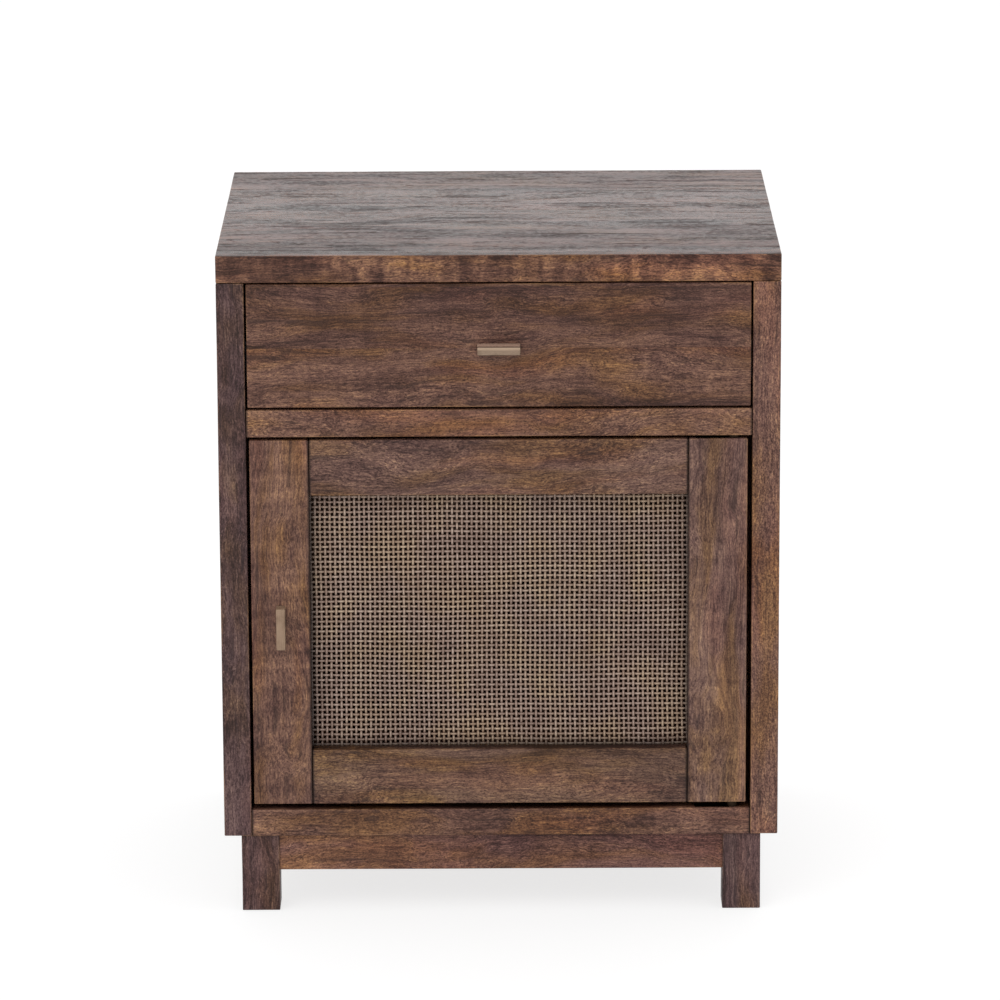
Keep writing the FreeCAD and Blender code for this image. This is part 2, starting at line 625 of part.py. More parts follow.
mortises = [door_tenons(zs, MORTISE_ROOM) for zs in rail_spans.values()]
left_stile = board((door_xs[0], open_xs[0]), door_ys, door_zs)
save("left_stile", left_stile.cut(mortises + [door_rebate] + door_pull_holes))
right_stile = board((open_xs[1], door_xs[1]), door_ys, door_zs)
hinge_cuts = stile_top_cuts + stile_bottom_cuts + pin_wells
save("right_stile", right_stile.cut(mortises + [door_rebate] + hinge_cuts))

# Cane panel: one sheet with a grid of square gaps over the opening
cane_xs = wider(open_xs, REBATE_W - CANE_ROOM)
cane_zs = wider(open_zs, REBATE_W - CANE_ROOM)
cane_y = rebate_ys[0]
column_pitch = (open_xs[1] - open_xs[0]) / CANE_COLUMNS
row_pitch = (open_zs[1] - open_zs[0]) / CANE_ROWS


def upright_rectangle(xs, zs):
    """Closed rectangle in the plane of the cane's front face."""
    corners = [(xs[0], zs[0]), (xs[1], zs[0]), (xs[1], zs[1]), (xs[0], zs[1]), (xs[0], zs[0])]
    return Part.makePolygon([FreeCAD.Vector(x, cane_y, z) for x, z in corners])


def gap(column, row):
    """Gap between two neighbouring strands each way."""
    x = open_xs[0] + column * column_pitch
    z = open_zs[0] + row * row_pitch
    half = CANE_STRAND / 2
    return upright_rectangle(wider((x, x + column_pitch), -half), wider((z, z + row_pitch), -half))


gaps = [gap(column, row) for column in range(CANE_COLUMNS) for row in range(CANE_ROWS)]
net = Part.makeFace([upright_rectangle(cane_xs, cane_zs)] + gaps, "Part::FaceMakerBullseye")
save("cane_panel", net.extrude(FreeCAD.Vector(0, CANE_T, 0)))

# Mitred beads that hold the cane in its rebate
bead_ys = (cane_y + CANE_T, door_ys[1])
bead_xs = wider(open_xs, REBATE_W - BEAD_ROOM)
bead_zs = wider(open_zs, REBATE_W - BEAD_ROOM)
inner_xs = wider(bead_xs, -BEAD_W)
inner_zs = wider(bead_zs, -BEAD_W)
for node, edge in (("bottom_cane_bead", 0), ("top_cane_bead", 1)):
    ends = [(bead_xs[0], bead_zs[edge]), (bead_xs[1], bead_zs[edge])]
    ends += [(inner_xs[1], inner_zs[edge]), (inner_xs[0], inner_zs[edge])]
    save(node, prism_xz(ends, bead_ys))
for node, edge in (("left_cane_bead", 0), ("right_cane_bead", 1)):
    ends = [(bead_xs[edge], bead_zs[0]), (bead_xs[edge], bead_zs[1])]
    ends += [(inner_xs[edge], inner_zs[1]), (inner_xs[edge], inner_zs[0])]
    save(node, prism_xz(ends, bead_ys))
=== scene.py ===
from math import radians
from types import SimpleNamespace

import bpy
from mathutils import Euler, Matrix, Vector


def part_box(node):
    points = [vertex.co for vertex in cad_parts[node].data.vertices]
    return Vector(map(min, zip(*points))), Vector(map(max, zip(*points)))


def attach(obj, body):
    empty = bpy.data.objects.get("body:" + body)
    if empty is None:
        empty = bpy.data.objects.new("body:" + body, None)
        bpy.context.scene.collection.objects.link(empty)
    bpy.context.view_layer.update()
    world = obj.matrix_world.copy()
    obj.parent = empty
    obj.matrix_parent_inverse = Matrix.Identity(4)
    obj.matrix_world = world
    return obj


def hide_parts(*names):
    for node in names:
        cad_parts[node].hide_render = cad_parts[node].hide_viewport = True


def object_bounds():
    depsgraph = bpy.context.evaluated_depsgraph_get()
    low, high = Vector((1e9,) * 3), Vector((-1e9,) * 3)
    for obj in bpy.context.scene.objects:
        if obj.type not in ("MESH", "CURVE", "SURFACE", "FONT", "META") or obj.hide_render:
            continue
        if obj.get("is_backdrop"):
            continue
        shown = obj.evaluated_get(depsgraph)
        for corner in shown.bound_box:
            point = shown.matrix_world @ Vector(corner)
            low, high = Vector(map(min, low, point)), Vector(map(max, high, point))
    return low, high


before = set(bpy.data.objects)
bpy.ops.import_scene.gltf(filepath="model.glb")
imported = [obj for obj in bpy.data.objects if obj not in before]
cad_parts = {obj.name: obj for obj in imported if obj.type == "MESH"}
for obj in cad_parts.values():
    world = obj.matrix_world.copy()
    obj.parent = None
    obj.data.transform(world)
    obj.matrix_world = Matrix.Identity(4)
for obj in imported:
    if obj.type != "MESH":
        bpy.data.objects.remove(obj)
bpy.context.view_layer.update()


# Side boards: solid hardwood with a dark walnut stain and satin lacquer, the grain upright.
# Each is glued up from staves, sawn square, rebated behind for the back panel, and sanded until
# every edge is eased and the faces are a little uneven, as hand-finished boards are.
def block_out(name, low, high):
    """Squared block between two corners, the start of most pieces."""
    bpy.ops.object.select_all(action="DESELECT")
    bpy.ops.mesh.primitive_cube_add(size=1, location=(low + high) / 2, scale=high - low)
    block = bpy.context.object
    block.name = name
    block.data.name = name
    bpy.ops.object.transform_apply(location=True, rotation=True, scale=True)
    return block


def saw_away(piece, low, high):
    """Cut a rebate or slot out of a piece, as a saw or plane does."""
    waste = block_out("waste", low, high)
    bpy.context.view_layer.objects.active = piece
    cut = piece.modifiers.new("cut", "BOOLEAN")
    cut.object = waste
    cut.operation = "DIFFERENCE"
    bpy.ops.object.modifier_apply(modifier="cut")
    bpy.data.objects.remove(waste)


def extent(piece):
    """Lowest and highest corner of a piece."""
    corners = [Vector(corner) for corner in piece.bound_box]
    low = Vector([min(corner[n] for corner in corners) for n in range(3)])
    high = Vector([max(corner[n] for corner in corners) for n in range(3)])
    return low, high


EASE = 0.0012
UNEVEN = 0.0003
SWELL_WIDTH = 0.06
SWELL_INWARD = 1.15
CUT_PITCH = 0.03
SHARP = radians(40)
SMOOTH = radians(35)


def sand(board, uneven=UNEVEN):
    """Ease every edge of a board and leave its faces slightly uneven, never outside the sawn size."""
    bpy.ops.object.select_all(action="DESELECT")
    board.select_set(True)
    bpy.context.view_layer.objects.active = board
    low, high = extent(board)
    bpy.ops.object.mode_set(mode="EDIT")
    for axis in range(3):
        steps = round((high[axis] - low[axis]) / CUT_PITCH)
        across = Vector([float(n == axis) for n in range(3)])
        for step in range(1, steps):
            bpy.ops.mesh.select_all(action="SELECT")
            cut_at = low + across * (high[axis] - low[axis]) * step / steps
            bpy.ops.mesh.bisect(plane_co=cut_at, plane_no=across)
    bpy.ops.mesh.select_all(action="DESELECT")
    bpy.ops.mesh.select_mode(type="EDGE")
    bpy.ops.mesh.edges_select_sharp(sharpness=SHARP)
    bpy.ops.mesh.bevel(offset=EASE, segments=3, affect="EDGES")
    bpy.ops.object.mode_set(mode="OBJECT")
    swell = bpy.data.textures.new("hand_sanding", "CLOUDS")
    swell.noise_scale = SWELL_WIDTH
    planed = board.modifiers.new("planed", "DISPLACE")
    planed.texture = swell
    planed.texture_coords = "GLOBAL"
    planed.strength = uneven
    planed.mid_level = SWELL_INWARD
    bpy.ops.object.modifier_apply(modifier="planed")
    bpy.ops.object.shade_smooth_by_angle(angle=SMOOTH)


def wire(tree, kind, sockets=None, **settings):
    """Add a shader node, set it, and feed its sockets with values or other nodes' outputs."""
    made = tree.nodes.new("ShaderNode" + kind)
    for setting, value in settings.items():
        setattr(made, setting, value)
    for socket, value in (sockets or {}).items():
        if isinstance(value, bpy.types.NodeSocket):
            tree.links.new(value, made.inputs[socket])
        else:
            made.inputs[socket].default_value = value
    return made


def begun(name):
    """New finish, with its shader tree and the place of each point on the piece."""
    finish = bpy.data.materials.new(name)
    finish.use_nodes = True
    tree = finish.node_tree
    return finish, tree, wire(tree, "TexCoord").outputs["Object"]


def calc(tree, operation, *values):
    """Arithmetic on numbers of a finish."""
    return wire(tree, "Math", dict(enumerate(values)), operation=operation).outputs[0]


def move(tree, operation, *vectors):
    """Arithmetic on places of a finish."""
    return wire(tree, "VectorMath", dict(enumerate(vectors)), operation=operation).outputs[0]


def span(tree, value, low, high, start, end):
    """Spread a number between low and high over start to end, flat outside."""
    sockets = {"Value": value, "From Min": low, "From Max": high, "To Min": start, "To Max": end}
    return wire(tree, "MapRange", sockets).outputs[0]


def vary(tree, value, pattern, amount):
    """Raise a number where a pattern is high and lower it where the pattern is low."""
    return calc(tree, "MULTIPLY_ADD", calc(tree, "SUBTRACT", pattern, 0.5), amount, value)


NOISE_LOW, NOISE_HIGH = 0.28, 0.72


def mottle(tree, place, stretch, detail=2.0, roughness=0.5):
    """Cloudy pattern, stretched differently along each axis, spread to fill zero to one."""
    stretched = move(tree, "MULTIPLY", place, stretch)
    sockets = {"Vector": stretched, "Scale": 1.0, "Detail": detail, "Roughness": roughness}
    cloud = wire(tree, "TexNoise", sockets).outputs[0]
    return span(tree, cloud, NOISE_LOW, NOISE_HIGH, 0.0, 1.0)


def lot(tree, across, start, width, seed):
    """Chance number, the same all over each stave or strand of a width."""
    number = calc(tree, "FLOOR", calc(tree, "DIVIDE", calc(tree, "SUBTRACT", across, start), width))
    drawn = {"W": calc(tree, "ADD", number, seed)}
    return wire(tree, "TexWhiteNoise", drawn, noise_dimensions="1D").outputs[0]


def shade(red, green, blue):
    """Colour as the eye reads it, in 0 to 255, made linear for a shader."""
    return tuple((value / 255) ** 2.2 for value in (red, green, blue)) + (1.0,)


def tint(tree, amount, under, over, blend="MIX"):
    """Lay one colour over another."""
    sockets = {0: amount, 6: under, 7: over}
    return wire(tree, "Mix", sockets, data_type="RGBA", blend_type=blend).outputs[2]


def toned(tree, value, stops):
    """Colours of a finish from its darkest to its lightest part."""
    ramp = wire(tree, "ValToRGB", {0: value})
    band = ramp.color_ramp
    while len(band.elements) < len(stops):
        band.elements.new(1.0)
    for element, (at, colour) in zip(band.elements, stops):
        element.position = at
        element.color = colour
    return ramp.outputs[0]


def arris(tree, place, low, high):
    """Distance of a point on a board to its nearest edge."""
    low_side = move(tree, "SUBTRACT", place, low)
    high_side = move(tree, "SUBTRACT", high, place)
    near = wire(tree, "SeparateXYZ", {0: move(tree, "MINIMUM", low_side, high_side)}).outputs
    least = calc(tree, "MINIMUM", near[0], calc(tree, "MINIMUM", near[1], near[2]))
    most = calc(tree, "MAXIMUM", near[0], calc(tree, "MAXIMUM", near[1], near[2]))
    total = calc(tree, "ADD", near[0], calc(tree, "ADD", near[1], near[2]))
    return calc(tree, "SUBTRACT", calc(tree, "SUBTRACT", total, least), most)


def coated(finish, colour, rough, relief, strength, deep):
    """Lay colour, dullness and a fine relief on a finish, and hand back its shader."""
    tree = finish.node_tree
    shader = tree.nodes["Principled BSDF"]
    tree.links.new(colour, shader.inputs["Base Color"])
    tree.links.new(rough, shader.inputs["Roughness"])
    bump = wire(tree, "Bump", {"Height": relief, "Strength": strength, "Distance": deep})
    tree.links.new(bump.outputs[0], shader.inputs["Normal"])
    return shader


STRAIGHT_FIGURE = {
    "sway": ((5.0, 12.0, 12.0), 2.0, 0.5),
    "waves": ((45.0, 60.0, 60.0), 1.0, 0.5),
    "specks": ((700.0, 900.0, 900.0), 2.0, 0.6),
    "pore_fields": ((8.0, 22.0, 22.0), 2.0, 0.5),
    "ring_drift": ((3.5, 9.0, 9.0), 1.0, 0.5),
    "ring_shake": ((40.0, 60.0, 60.0), 1.0, 0.5),
    "ring_fields": ((5.0, 24.0, 24.0), 2.0, 0.5),
    "lacquer": ((190.0, 280.0, 280.0), 1.0, 0.5),
}
SWAYING_FIGURE = {
    "bands": ((3.0, 60.0, 60.0), 4.0, 0.55),
    "clouds": ((12.0, 34.0, 34.0), 3.0, 0.6),
    "ripples": ((95.0, 12.0, 12.0), 1.0, 0.5),
    "lines": ((22.0, 700.0, 700.0), 2.0, 0.6),
    "fibres": ((190.0, 1250.0, 1250.0), 2.0, 0.6),
    "pores": ((420.0, 1150.0, 1150.0), 1.0, 0.6),
    "veins": ((7.0, 190.0, 190.0), 2.0, 0.55),
    "russet": ((9.0, 38.0, 38.0), 3.0, 0.5),
    "warmth": ((5.0, 30.0, 30.0), 2.0, 0.5),
}
RINGS_PER_METRE = 900.0


def figured(tree, laid):
    """All patterns of the wood of a board, with the growth rings that show in some places.

    A pattern is its repeats in a metre along, across and through the grain, its detail and its
    roughness. The straight ones keep to the board and the swaying ones follow the bent grain.
    """
    figure = SimpleNamespace()
    for part, pattern in STRAIGHT_FIGURE.items():
        setattr(figure, part, mottle(tree, laid, *pattern))
    bent = calc(tree, "MULTIPLY_ADD", figure.sway, 0.03, calc(tree, "MULTIPLY", figure.waves, 0.0025))
    swayed = move(tree, "ADD", laid, wire(tree, "CombineXYZ", {1: bent, 2: bent}).outputs[0])
    for part, pattern in SWAYING_FIGURE.items():
        setattr(figure, part, mottle(tree, swayed, *pattern))
    heart = wire(tree, "SeparateXYZ", {0: swayed}).outputs[1]
    heart = calc(tree, "MULTIPLY_ADD", figure.ring_drift, 0.045, heart)
    heart = calc(tree, "MULTIPLY_ADD", figure.ring_shake, 0.0012, heart)
    wave = calc(tree, "SINE", calc(tree, "MULTIPLY", heart, RINGS_PER_METRE))
    shown = span(tree, figure.ring_fields, 0.45, 0.75, 0.0, 1.0)
    figure.rings = calc(tree, "MULTIPLY", span(tree, wave, 0.1, 1.0, 0.0, 0.16), shown)
    return figure


CLOUD_DEPTH = 0.3
CURL_DEPTH = 0.3
LINE_DEPTH = 0.42


def stain_depth(tree, figure, tone, streak, curl, open_grain, speckle):
    """How light the stain lies, from zero to one, by the tone of a board and the figure of its wood."""
    depth = vary(tree, tone, figure.bands, streak)
    depth = vary(tree, depth, figure.clouds, CLOUD_DEPTH)
    depth = vary(tree, depth, figure.ripples, CURL_DEPTH * curl)
    depth = vary(tree, depth, figure.lines, LINE_DEPTH)
    depth = calc(tree, "SUBTRACT", depth, figure.rings)
    coarse = span(tree, figure.pore_fields, 0.1, 0.9, 0.25 * open_grain, 0.65 * open_grain)
    depth = vary(tree, depth, figure.fibres, coarse)
    return vary(tree, depth, figure.specks, speckle)


HONEY = (1.06, 1.0, 0.68, 1.0)
ASH = (0.93, 0.92, 0.99, 1.0)
RUST = (1.06, 0.95, 0.92, 1.0)
VEIN = shade(52, 38, 35)
PORE = shade(42, 26, 20)
BARE_WOOD = shade(170, 130, 92)
JOINT_DIRT = shade(34, 24, 22)


def stain_colour(tree, figure, depth, colours, cast, open_grain):
    """Colour of the stain: warm and cool in places, with dark veins, its own cast and open pores."""
    colour = toned(tree, depth, colours)
    for pattern, none, full, hue in (
        (figure.russet, 0.45, 0.8, HONEY),
        (figure.russet, 0.45, 0.15, ASH),
        (figure.warmth, 0.5, 0.85, RUST),
    ):
        colour = tint(tree, span(tree, pattern, none, full, 0.0, 1.0), colour, hue, "MULTIPLY")
    colour = tint(tree, span(tree, figure.veins, 0.72, 0.95, 0.0, 0.6), colour, VEIN)
    colour = tint(tree, 1.0, colour, (*cast, 1.0), "MULTIPLY")
    return tint(tree, span(tree, figure.pores, 0.55, 0.9, 0.0, 0.65 * open_grain), colour, PORE)


WALNUT = (
    (0.0, shade(50, 34, 29)),
    (0.25, shade(77, 53, 46)),
    (0.5, shade(105, 76, 64)),
    (0.75, shade(133, 99, 80)),
    (1.0, shade(168, 128, 96)),
)
STAVE_SHIFT_ALONG = 3.7
STAVE_SHIFT_THROUGH = 0.9
STAVE_TONE = 0.07
SEED_SHIFT = (1.31, 0.47, 0.29)
PATCH_CORE, PATCH_END, PATCH_RAGGED = 0.35, 1.2, 0.7
WORN_CORE, WORN_END = 0.0004, 0.0014
SEAM_CORE, SEAM_END = 0.0007, 0.0024


def stained(name, piece, lie, seed, tone, staves=None, curl=0.3, streak=0.25, patches=(), seams=(),
            colours=WALNUT, cast=(1.0, 1.0, 1.0), open_grain=1.0, speckle=0.3, lustre=0.2,
            polish=(0.62, 0.3)):
    """Stained and lacquered wood of one board.

    lie names the axes along the grain, across it and through the board, and seed picks its wood.
    tone is how light the stain lies, staves their width and where they start across the board.
    curl, streak, open_grain and speckle say how strongly that figure shows. A patch is its middle,
    its reach and how much lighter it is, and a seam is the axis and place of a dark joint.
    colours run from the darkest stain to the lightest, and cast is multiplied over them.
    lustre is how strongly the lacquer reflects, and polish its roughness where dullest and shiniest.
    """
    finish, tree, place = begun(name)
    parts = wire(tree, "SeparateXYZ", {0: place}).outputs
    along, across, through = (parts["xyz".index(axis)] for axis in lie)
    if staves:
        width, start = staves
        chance = lot(tree, across, start, width, seed)
        along = calc(tree, "MULTIPLY_ADD", chance, STAVE_SHIFT_ALONG, along)
        through = calc(tree, "MULTIPLY_ADD", chance, STAVE_SHIFT_THROUGH, through)
        tone = span(tree, chance, 0.0, 1.0, tone - STAVE_TONE, tone + STAVE_TONE)
    laid = wire(tree, "CombineXYZ", {0: along, 1: across, 2: through}).outputs[0]
    wood_start = tuple(seed * shift for shift in SEED_SHIFT)
    figure = figured(tree, move(tree, "ADD", laid, wood_start))
    depth = stain_depth(tree, figure, tone, streak, curl, open_grain, speckle)
    for middle, reach, lighter in patches:
        away = move(tree, "DIVIDE", move(tree, "SUBTRACT", place, middle), reach)
        far = wire(tree, "VectorMath", {0: away}, operation="LENGTH").outputs["Value"]
        ragged = vary(tree, far, figure.clouds, PATCH_RAGGED)
        depth = calc(tree, "ADD", depth, span(tree, ragged, PATCH_CORE, PATCH_END, lighter, 0.0))
    colour = stain_colour(tree, figure, depth, colours, cast, open_grain)
    edge = arris(tree, place, *extent(piece))
    wear = calc(tree, "MULTIPLY", span(tree, figure.clouds, 0.45, 0.8, 0.0, 1.0), figure.fibres)
    wear_and_painted_highlight = calc(tree, "MULTIPLY", span(tree, edge, WORN_CORE, WORN_END, 0.6, 0.0), wear)
    colour = tint(tree, wear_and_painted_highlight, colour, BARE_WOOD)
    for axis, at in seams:
        aside = calc(tree, "ABSOLUTE", calc(tree, "SUBTRACT", parts["xyz".index(axis)], at))
        dirt = span(tree, aside, SEAM_CORE, SEAM_END, 0.85, 0.0)
        colour = tint(tree, dirt, colour, JOINT_DIRT)
    sheen = calc(tree, "SUBTRACT", figure.fibres, span(tree, figure.veins, 0.6, 0.95, 0.0, 0.8))
    for pattern, weight in ((figure.bands, 0.6), (figure.clouds, 0.8), (figure.lacquer, 0.6)):
        sheen = calc(tree, "MULTIPLY_ADD", pattern, weight, sheen)
    rough = span(tree, sheen, 0.6, 2.0, *polish)
    relief = calc(tree, "MULTIPLY_ADD", figure.pores, -0.7, figure.fibres)
    shader = coated(finish, colour, rough, relief, 0.3, 0.0002)
    shader.inputs["Specular IOR Level"].default_value = lustre
    return finish


def painted(finish, *pieces):
    """Give pieces one finish in place of any other."""
    for piece in pieces:
        piece.data.materials.clear()
        piece.data.materials.append(finish)


def fitted(piece, finish, body, slot, *nodes):
    """Give a finished piece its material and body, in place of the nodes that it stands for; slot is not
    used.
    """
    painted(finish, piece)
    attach(piece, body)
    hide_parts(*nodes)


front_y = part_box("left_side_panel")[0].y


def blotch(x, z, wide, tall, lighter, deep=0.05):
    """Patch of lighter or darker stain on the front of a board: its middle, its reach and its strength."""
    return (x, front_y, z), (wide, deep, tall), lighter


SMOKED = (0.9, 1.06, 1.4)
RUSSET = (0.98, 0.99, 1.05)
OVERCUT = 0.01
dark_above = [blotch(-0.24, 0.5, 0.1, 0.25, -0.07, 0.1), blotch(-0.24, 0.09, 0.1, 0.12, 0.04, 0.1)]
knotty = [blotch(0.24, 0.343, 0.1, 0.05, -0.1, 0.1)]
side_looks = {
    "left": {"seed": 3.0, "tone": 0.26, "cast": SMOKED, "patches": dark_above, "streak": 0.12},
    "right": {"seed": 7.0, "tone": 0.54, "cast": RUSSET, "patches": knotty, "speckle": 0.55},
}
back_low, back_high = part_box("back_panel")
for side, looks in side_looks.items():
    low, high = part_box(side + "_side_panel")
    board = block_out(side + "_side_board", low, high)
    rebate_low = Vector((back_low.x, back_low.y, low.z - OVERCUT))
    saw_away(board, rebate_low, Vector((back_high.x, high.y + OVERCUT, high.z + OVERCUT)))
    sand(board)
    finish = stained(side + "_side_wood", board, "zyx", staves=(0.08, front_y), open_grain=0.8, **looks)
    fitted(board, finish, "case", "stained_wood", side + "_side_panel")


# Bottom board and the divider under the drawer: the same stained wood with the grain from side to
# side, dowelled between the side boards and flush with them in front. The joints at their ends
# show as fine dark lines.
STAVES_FROM = -0.2
# Painted shade: a dark strip on the top of the bottom board, in the gap under the door.
under_door_painted_shade = (0.0, front_y + 0.015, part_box("bottom_panel")[1].z + 0.001), (0.4, 0.014, 0.003), -0.35
bottom_patches = [
    blotch(-0.212, 0.085, 0.03, 0.02, 0.2),
    blotch(0.185, 0.083, 0.06, 0.025, 0.22),
    under_door_painted_shade,
]
divider_patches = [blotch(-0.215, 0.452, 0.02, 0.03, 0.12), blotch(0.17, 0.455, 0.1, 0.03, 0.12)]
for node, name, seed, tone, patches in (
    ("bottom_panel", "bottom", 11.0, 0.425, bottom_patches),
    ("drawer_divider", "divider", 15.0, 0.395, divider_patches),
):
    low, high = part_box(node)
    board = block_out(name + "_board", low, high)
    sand(board)
    ends = [("x", low.x), ("x", high.x)]
    finish = stained(name + "_wood", board, "xyz", seed, tone, staves=(0.09, STAVES_FROM),
                     patches=patches, seams=ends)
    fitted(board, finish, "case", "stained_wood", node)


# Top board: glued up from staves with the grain from side to side, flush with the sides all round.
# Its front edge shows the lightest, curly figure, and its lacquered face has faded and dulled
# unevenly. The back corners are rounded off a little more than the other edges.
CORNER_R = 0.004
NEAR = 0.0001
UPWARD = 0.7
low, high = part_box("top_panel")
board = block_out("top_board", low, high)
rebate_low = Vector((back_low.x, back_low.y, low.z - OVERCUT))
saw_away(board, rebate_low, Vector((back_high.x, high.y + OVERCUT, back_high.z)))
bpy.ops.object.select_all(action="DESELECT")
board.select_set(True)
bpy.ops.object.mode_set(mode="EDIT")
bpy.ops.mesh.select_mode(type="EDGE")
bpy.ops.mesh.select_all(action="DESELECT")
bpy.ops.object.mode_set(mode="OBJECT")
for edge in board.data.edges:
    tips = [board.data.vertices[n].co for n in edge.vertices]
    edge.select = all(tip.y > high.y - NEAR and abs(tip.x) > high.x - NEAR for tip in tips)
bpy.ops.object.mode_set(mode="EDIT")
bpy.ops.mesh.bevel(offset=CORNER_R, segments=4, affect="EDGES")
bpy.ops.object.mode_set(mode="OBJECT")
sand(board)

edge_patches = [blotch(x, z, wide, tall, lighter, 0.1) for x, z, wide, tall, lighter in (
    (-0.2, 0.598, 0.08, 0.02, -0.2),
    (0.18, 0.588, 0.05, 0.012, 0.16),
    (0.24, 0.6, 0.02, 0.02, -0.15),
    (0.19, 0.603, 0.06, 0.007, -0.16),
    (0.0, 0.606, 0.2, 0.004, -0.2),
    (-0.08, 0.597, 0.003, 0.012, -0.25),
    (0.037, 0.597, 0.003, 0.012, -0.25),
)]
finish = stained("top_edge_wood", board, "xyz", 21.0, 0.525, curl=1.2, patches=edge_patches,
                 cast=(1.015, 0.975, 0.89))
fitted(board, finish, "case", "stained_wood", "top_panel")

FADED = (
    (0.0, shade(44, 30, 27)),
    (0.3, shade(82, 58, 51)),
    (0.6, shade(108, 81, 71)),
    (1.0, shade(122, 95, 84)),
)
SHINIEST = 0.24
face_patches = [((x, y, high.z), (wide, long, 0.1), lighter) for x, y, wide, long, lighter in (
    (0.02, 0.11, 0.06, 0.008, -0.3),
    (-0.17, 0.03, 0.07, 0.01, -0.25),
    (0.16, -0.05, 0.08, 0.01, -0.25),
    (0.1, 0.04, 0.16, 0.03, 0.12),
    # The last two darken the stain along the front and the back of the top: painted shade for the dimmer
    # reflection there.
    (0.0, 0.19, 0.6, 0.06, -0.08),
    (0.0, -0.19, 0.6, 0.06, -0.08),
)]


def dulled(finish, front, back):
    """Take the shine off a lacquer, most towards front and back, but leave it on the lip in front."""
    tree = finish.node_tree
    from_front = wire(tree, "SeparateXYZ", {0: wire(tree, "TexCoord").outputs["Object"]}).outputs[1]
    dull_front = span(tree, from_front, front + 0.03, front + 0.16, 0.12, 0.0)
    dull_back = span(tree, from_front, back - 0.12, back, 0.0, 0.13)
    bright_lip = span(tree, from_front, front + 0.015, front + 0.03, 0.22, 0.0)
    rough = tree.nodes["Principled BSDF"].inputs["Roughness"]
    worn = calc(tree, "MAXIMUM", rough.links[0].from_socket, SHINIEST)
    worn = calc(tree, "SUBTRACT", worn, bright_lip)
    worn = calc(tree, "ADD", worn, calc(tree, "ADD", dull_front, dull_back))
    tree.links.new(worn, rough)


finish = stained("top_wood", board, "xyz", 21.0, 0.22, staves=(0.082, STAVES_FROM), streak=0.65,
                 patches=face_patches, colours=FADED, cast=(1.06, 0.99, 1.01), lustre=0.52,
                 polish=(0.72, 0.0))
dulled(finish, low.y, high.y)
board.data.materials.append(finish)
for face in board.data.polygons:
    face.material_index = int(face.normal.z > UPWARD)


# Back panel: thin plywood stained to match, let into the rebates of the case from behind.
# Countersunk zinc-plated screws hold it to the side boards.
def pick_faces(piece, wanted):
    """Select only the faces of a piece that answer a test, and open it for editing."""
    bpy.ops.object.mode_set(mode="EDIT")
    bpy.ops.mesh.select_mode(type="FACE")
    bpy.ops.mesh.select_all(action="DESELECT")
    bpy.ops.object.mode_set(mode="OBJECT")
    for face in piece.data.polygons:
        face.select = wanted(face)
    bpy.ops.object.mode_set(mode="EDIT")


FACING = 0.9
POINT_TAPER = 0.1


def flat_screw(head_r, length):
    """Countersunk screw with a cross recess, its head flush with height zero and its point below."""
    shank_r = head_r / 2
    sink = head_r - shank_r
    point = 2 * shank_r
    bpy.ops.object.select_all(action="DESELECT")
    bpy.ops.mesh.primitive_cone_add(
        vertices=20, radius1=shank_r, radius2=head_r, depth=sink, location=(0, 0, -sink / 2))
    screw = bpy.context.object
    bpy.ops.object.transform_apply(location=True, rotation=True, scale=True)
    pick_faces(screw, lambda face: face.normal.z < -FACING)
    bpy.ops.mesh.extrude_region_move(TRANSFORM_OT_translate={"value": (0, 0, sink + point - length)})
    bpy.ops.mesh.extrude_region_move(TRANSFORM_OT_translate={"value": (0, 0, -point)})
    bpy.ops.transform.resize(value=(POINT_TAPER, POINT_TAPER, 1))
    bpy.ops.object.mode_set(mode="OBJECT")
    arm, half, deep = 0.62 * head_r, 0.14 * head_r, 0.3 * head_r
    saw_away(screw, Vector((-arm, -half, -deep)), Vector((arm, half, deep)))
    saw_away(screw, Vector((-half, -arm, -deep)), Vector((half, arm, deep)))
    return screw


def drive(name, fastener, places, along):
    """Copy a fastener to its places, pointing along a direction, as one piece."""
    turn = Vector((0, 0, -1)).rotation_difference(Vector(along)).to_matrix().to_4x4()
    bpy.ops.object.select_all(action="DESELECT")
    copies = []
    for at in places:
        copy = fastener.copy()
        copy.data = fastener.data.copy()
        bpy.context.collection.objects.link(copy)
        copy.data.transform(Matrix.Translation(at) @ turn)
        copy.select_set(True)
        copies.append(copy)
    bpy.context.view_layer.objects.active = copies[0]
    bpy.ops.object.join()
    bpy.data.objects.remove(fastener)
    row = bpy.context.object
    row.name = name
    row.data.name = name
    bpy.ops.object.shade_smooth_by_angle(angle=SMOOTH)
    return row


def metal(name, bright, dull, rough, stretch=(300.0, 300.0, 300.0), bare=1.0):
    """Metal with faint marks from working it and some tarnish, less bare under a dull lacquer."""
    finish, tree, place = begun(name)
    worked = mottle(tree, place, stretch, 2.0)
    tarnish = mottle(tree, place, (90.0, 90.0, 90.0), 3.0, 0.6)
    colour = tint(tree, span(tree, tarnish, 0.3, 0.95, 0.0, 0.8), bright, dull)
    colour = tint(tree, span(tree, worked, 0.3, 1.0, 0.0, 0.35), colour, dull)
    uneven = span(tree, worked, 0.0, 1.0, rough - 0.08, rough + 0.1)
    shader = coated(finish, colour, uneven, worked, 0.15, 0.0001)
    shader.inputs["Metallic"].default_value = bare
    return finish


def solids(*nodes):
    """Pieces that keep the shape of their CAD nodes."""
    return [bpy.data.objects[node] for node in nodes]


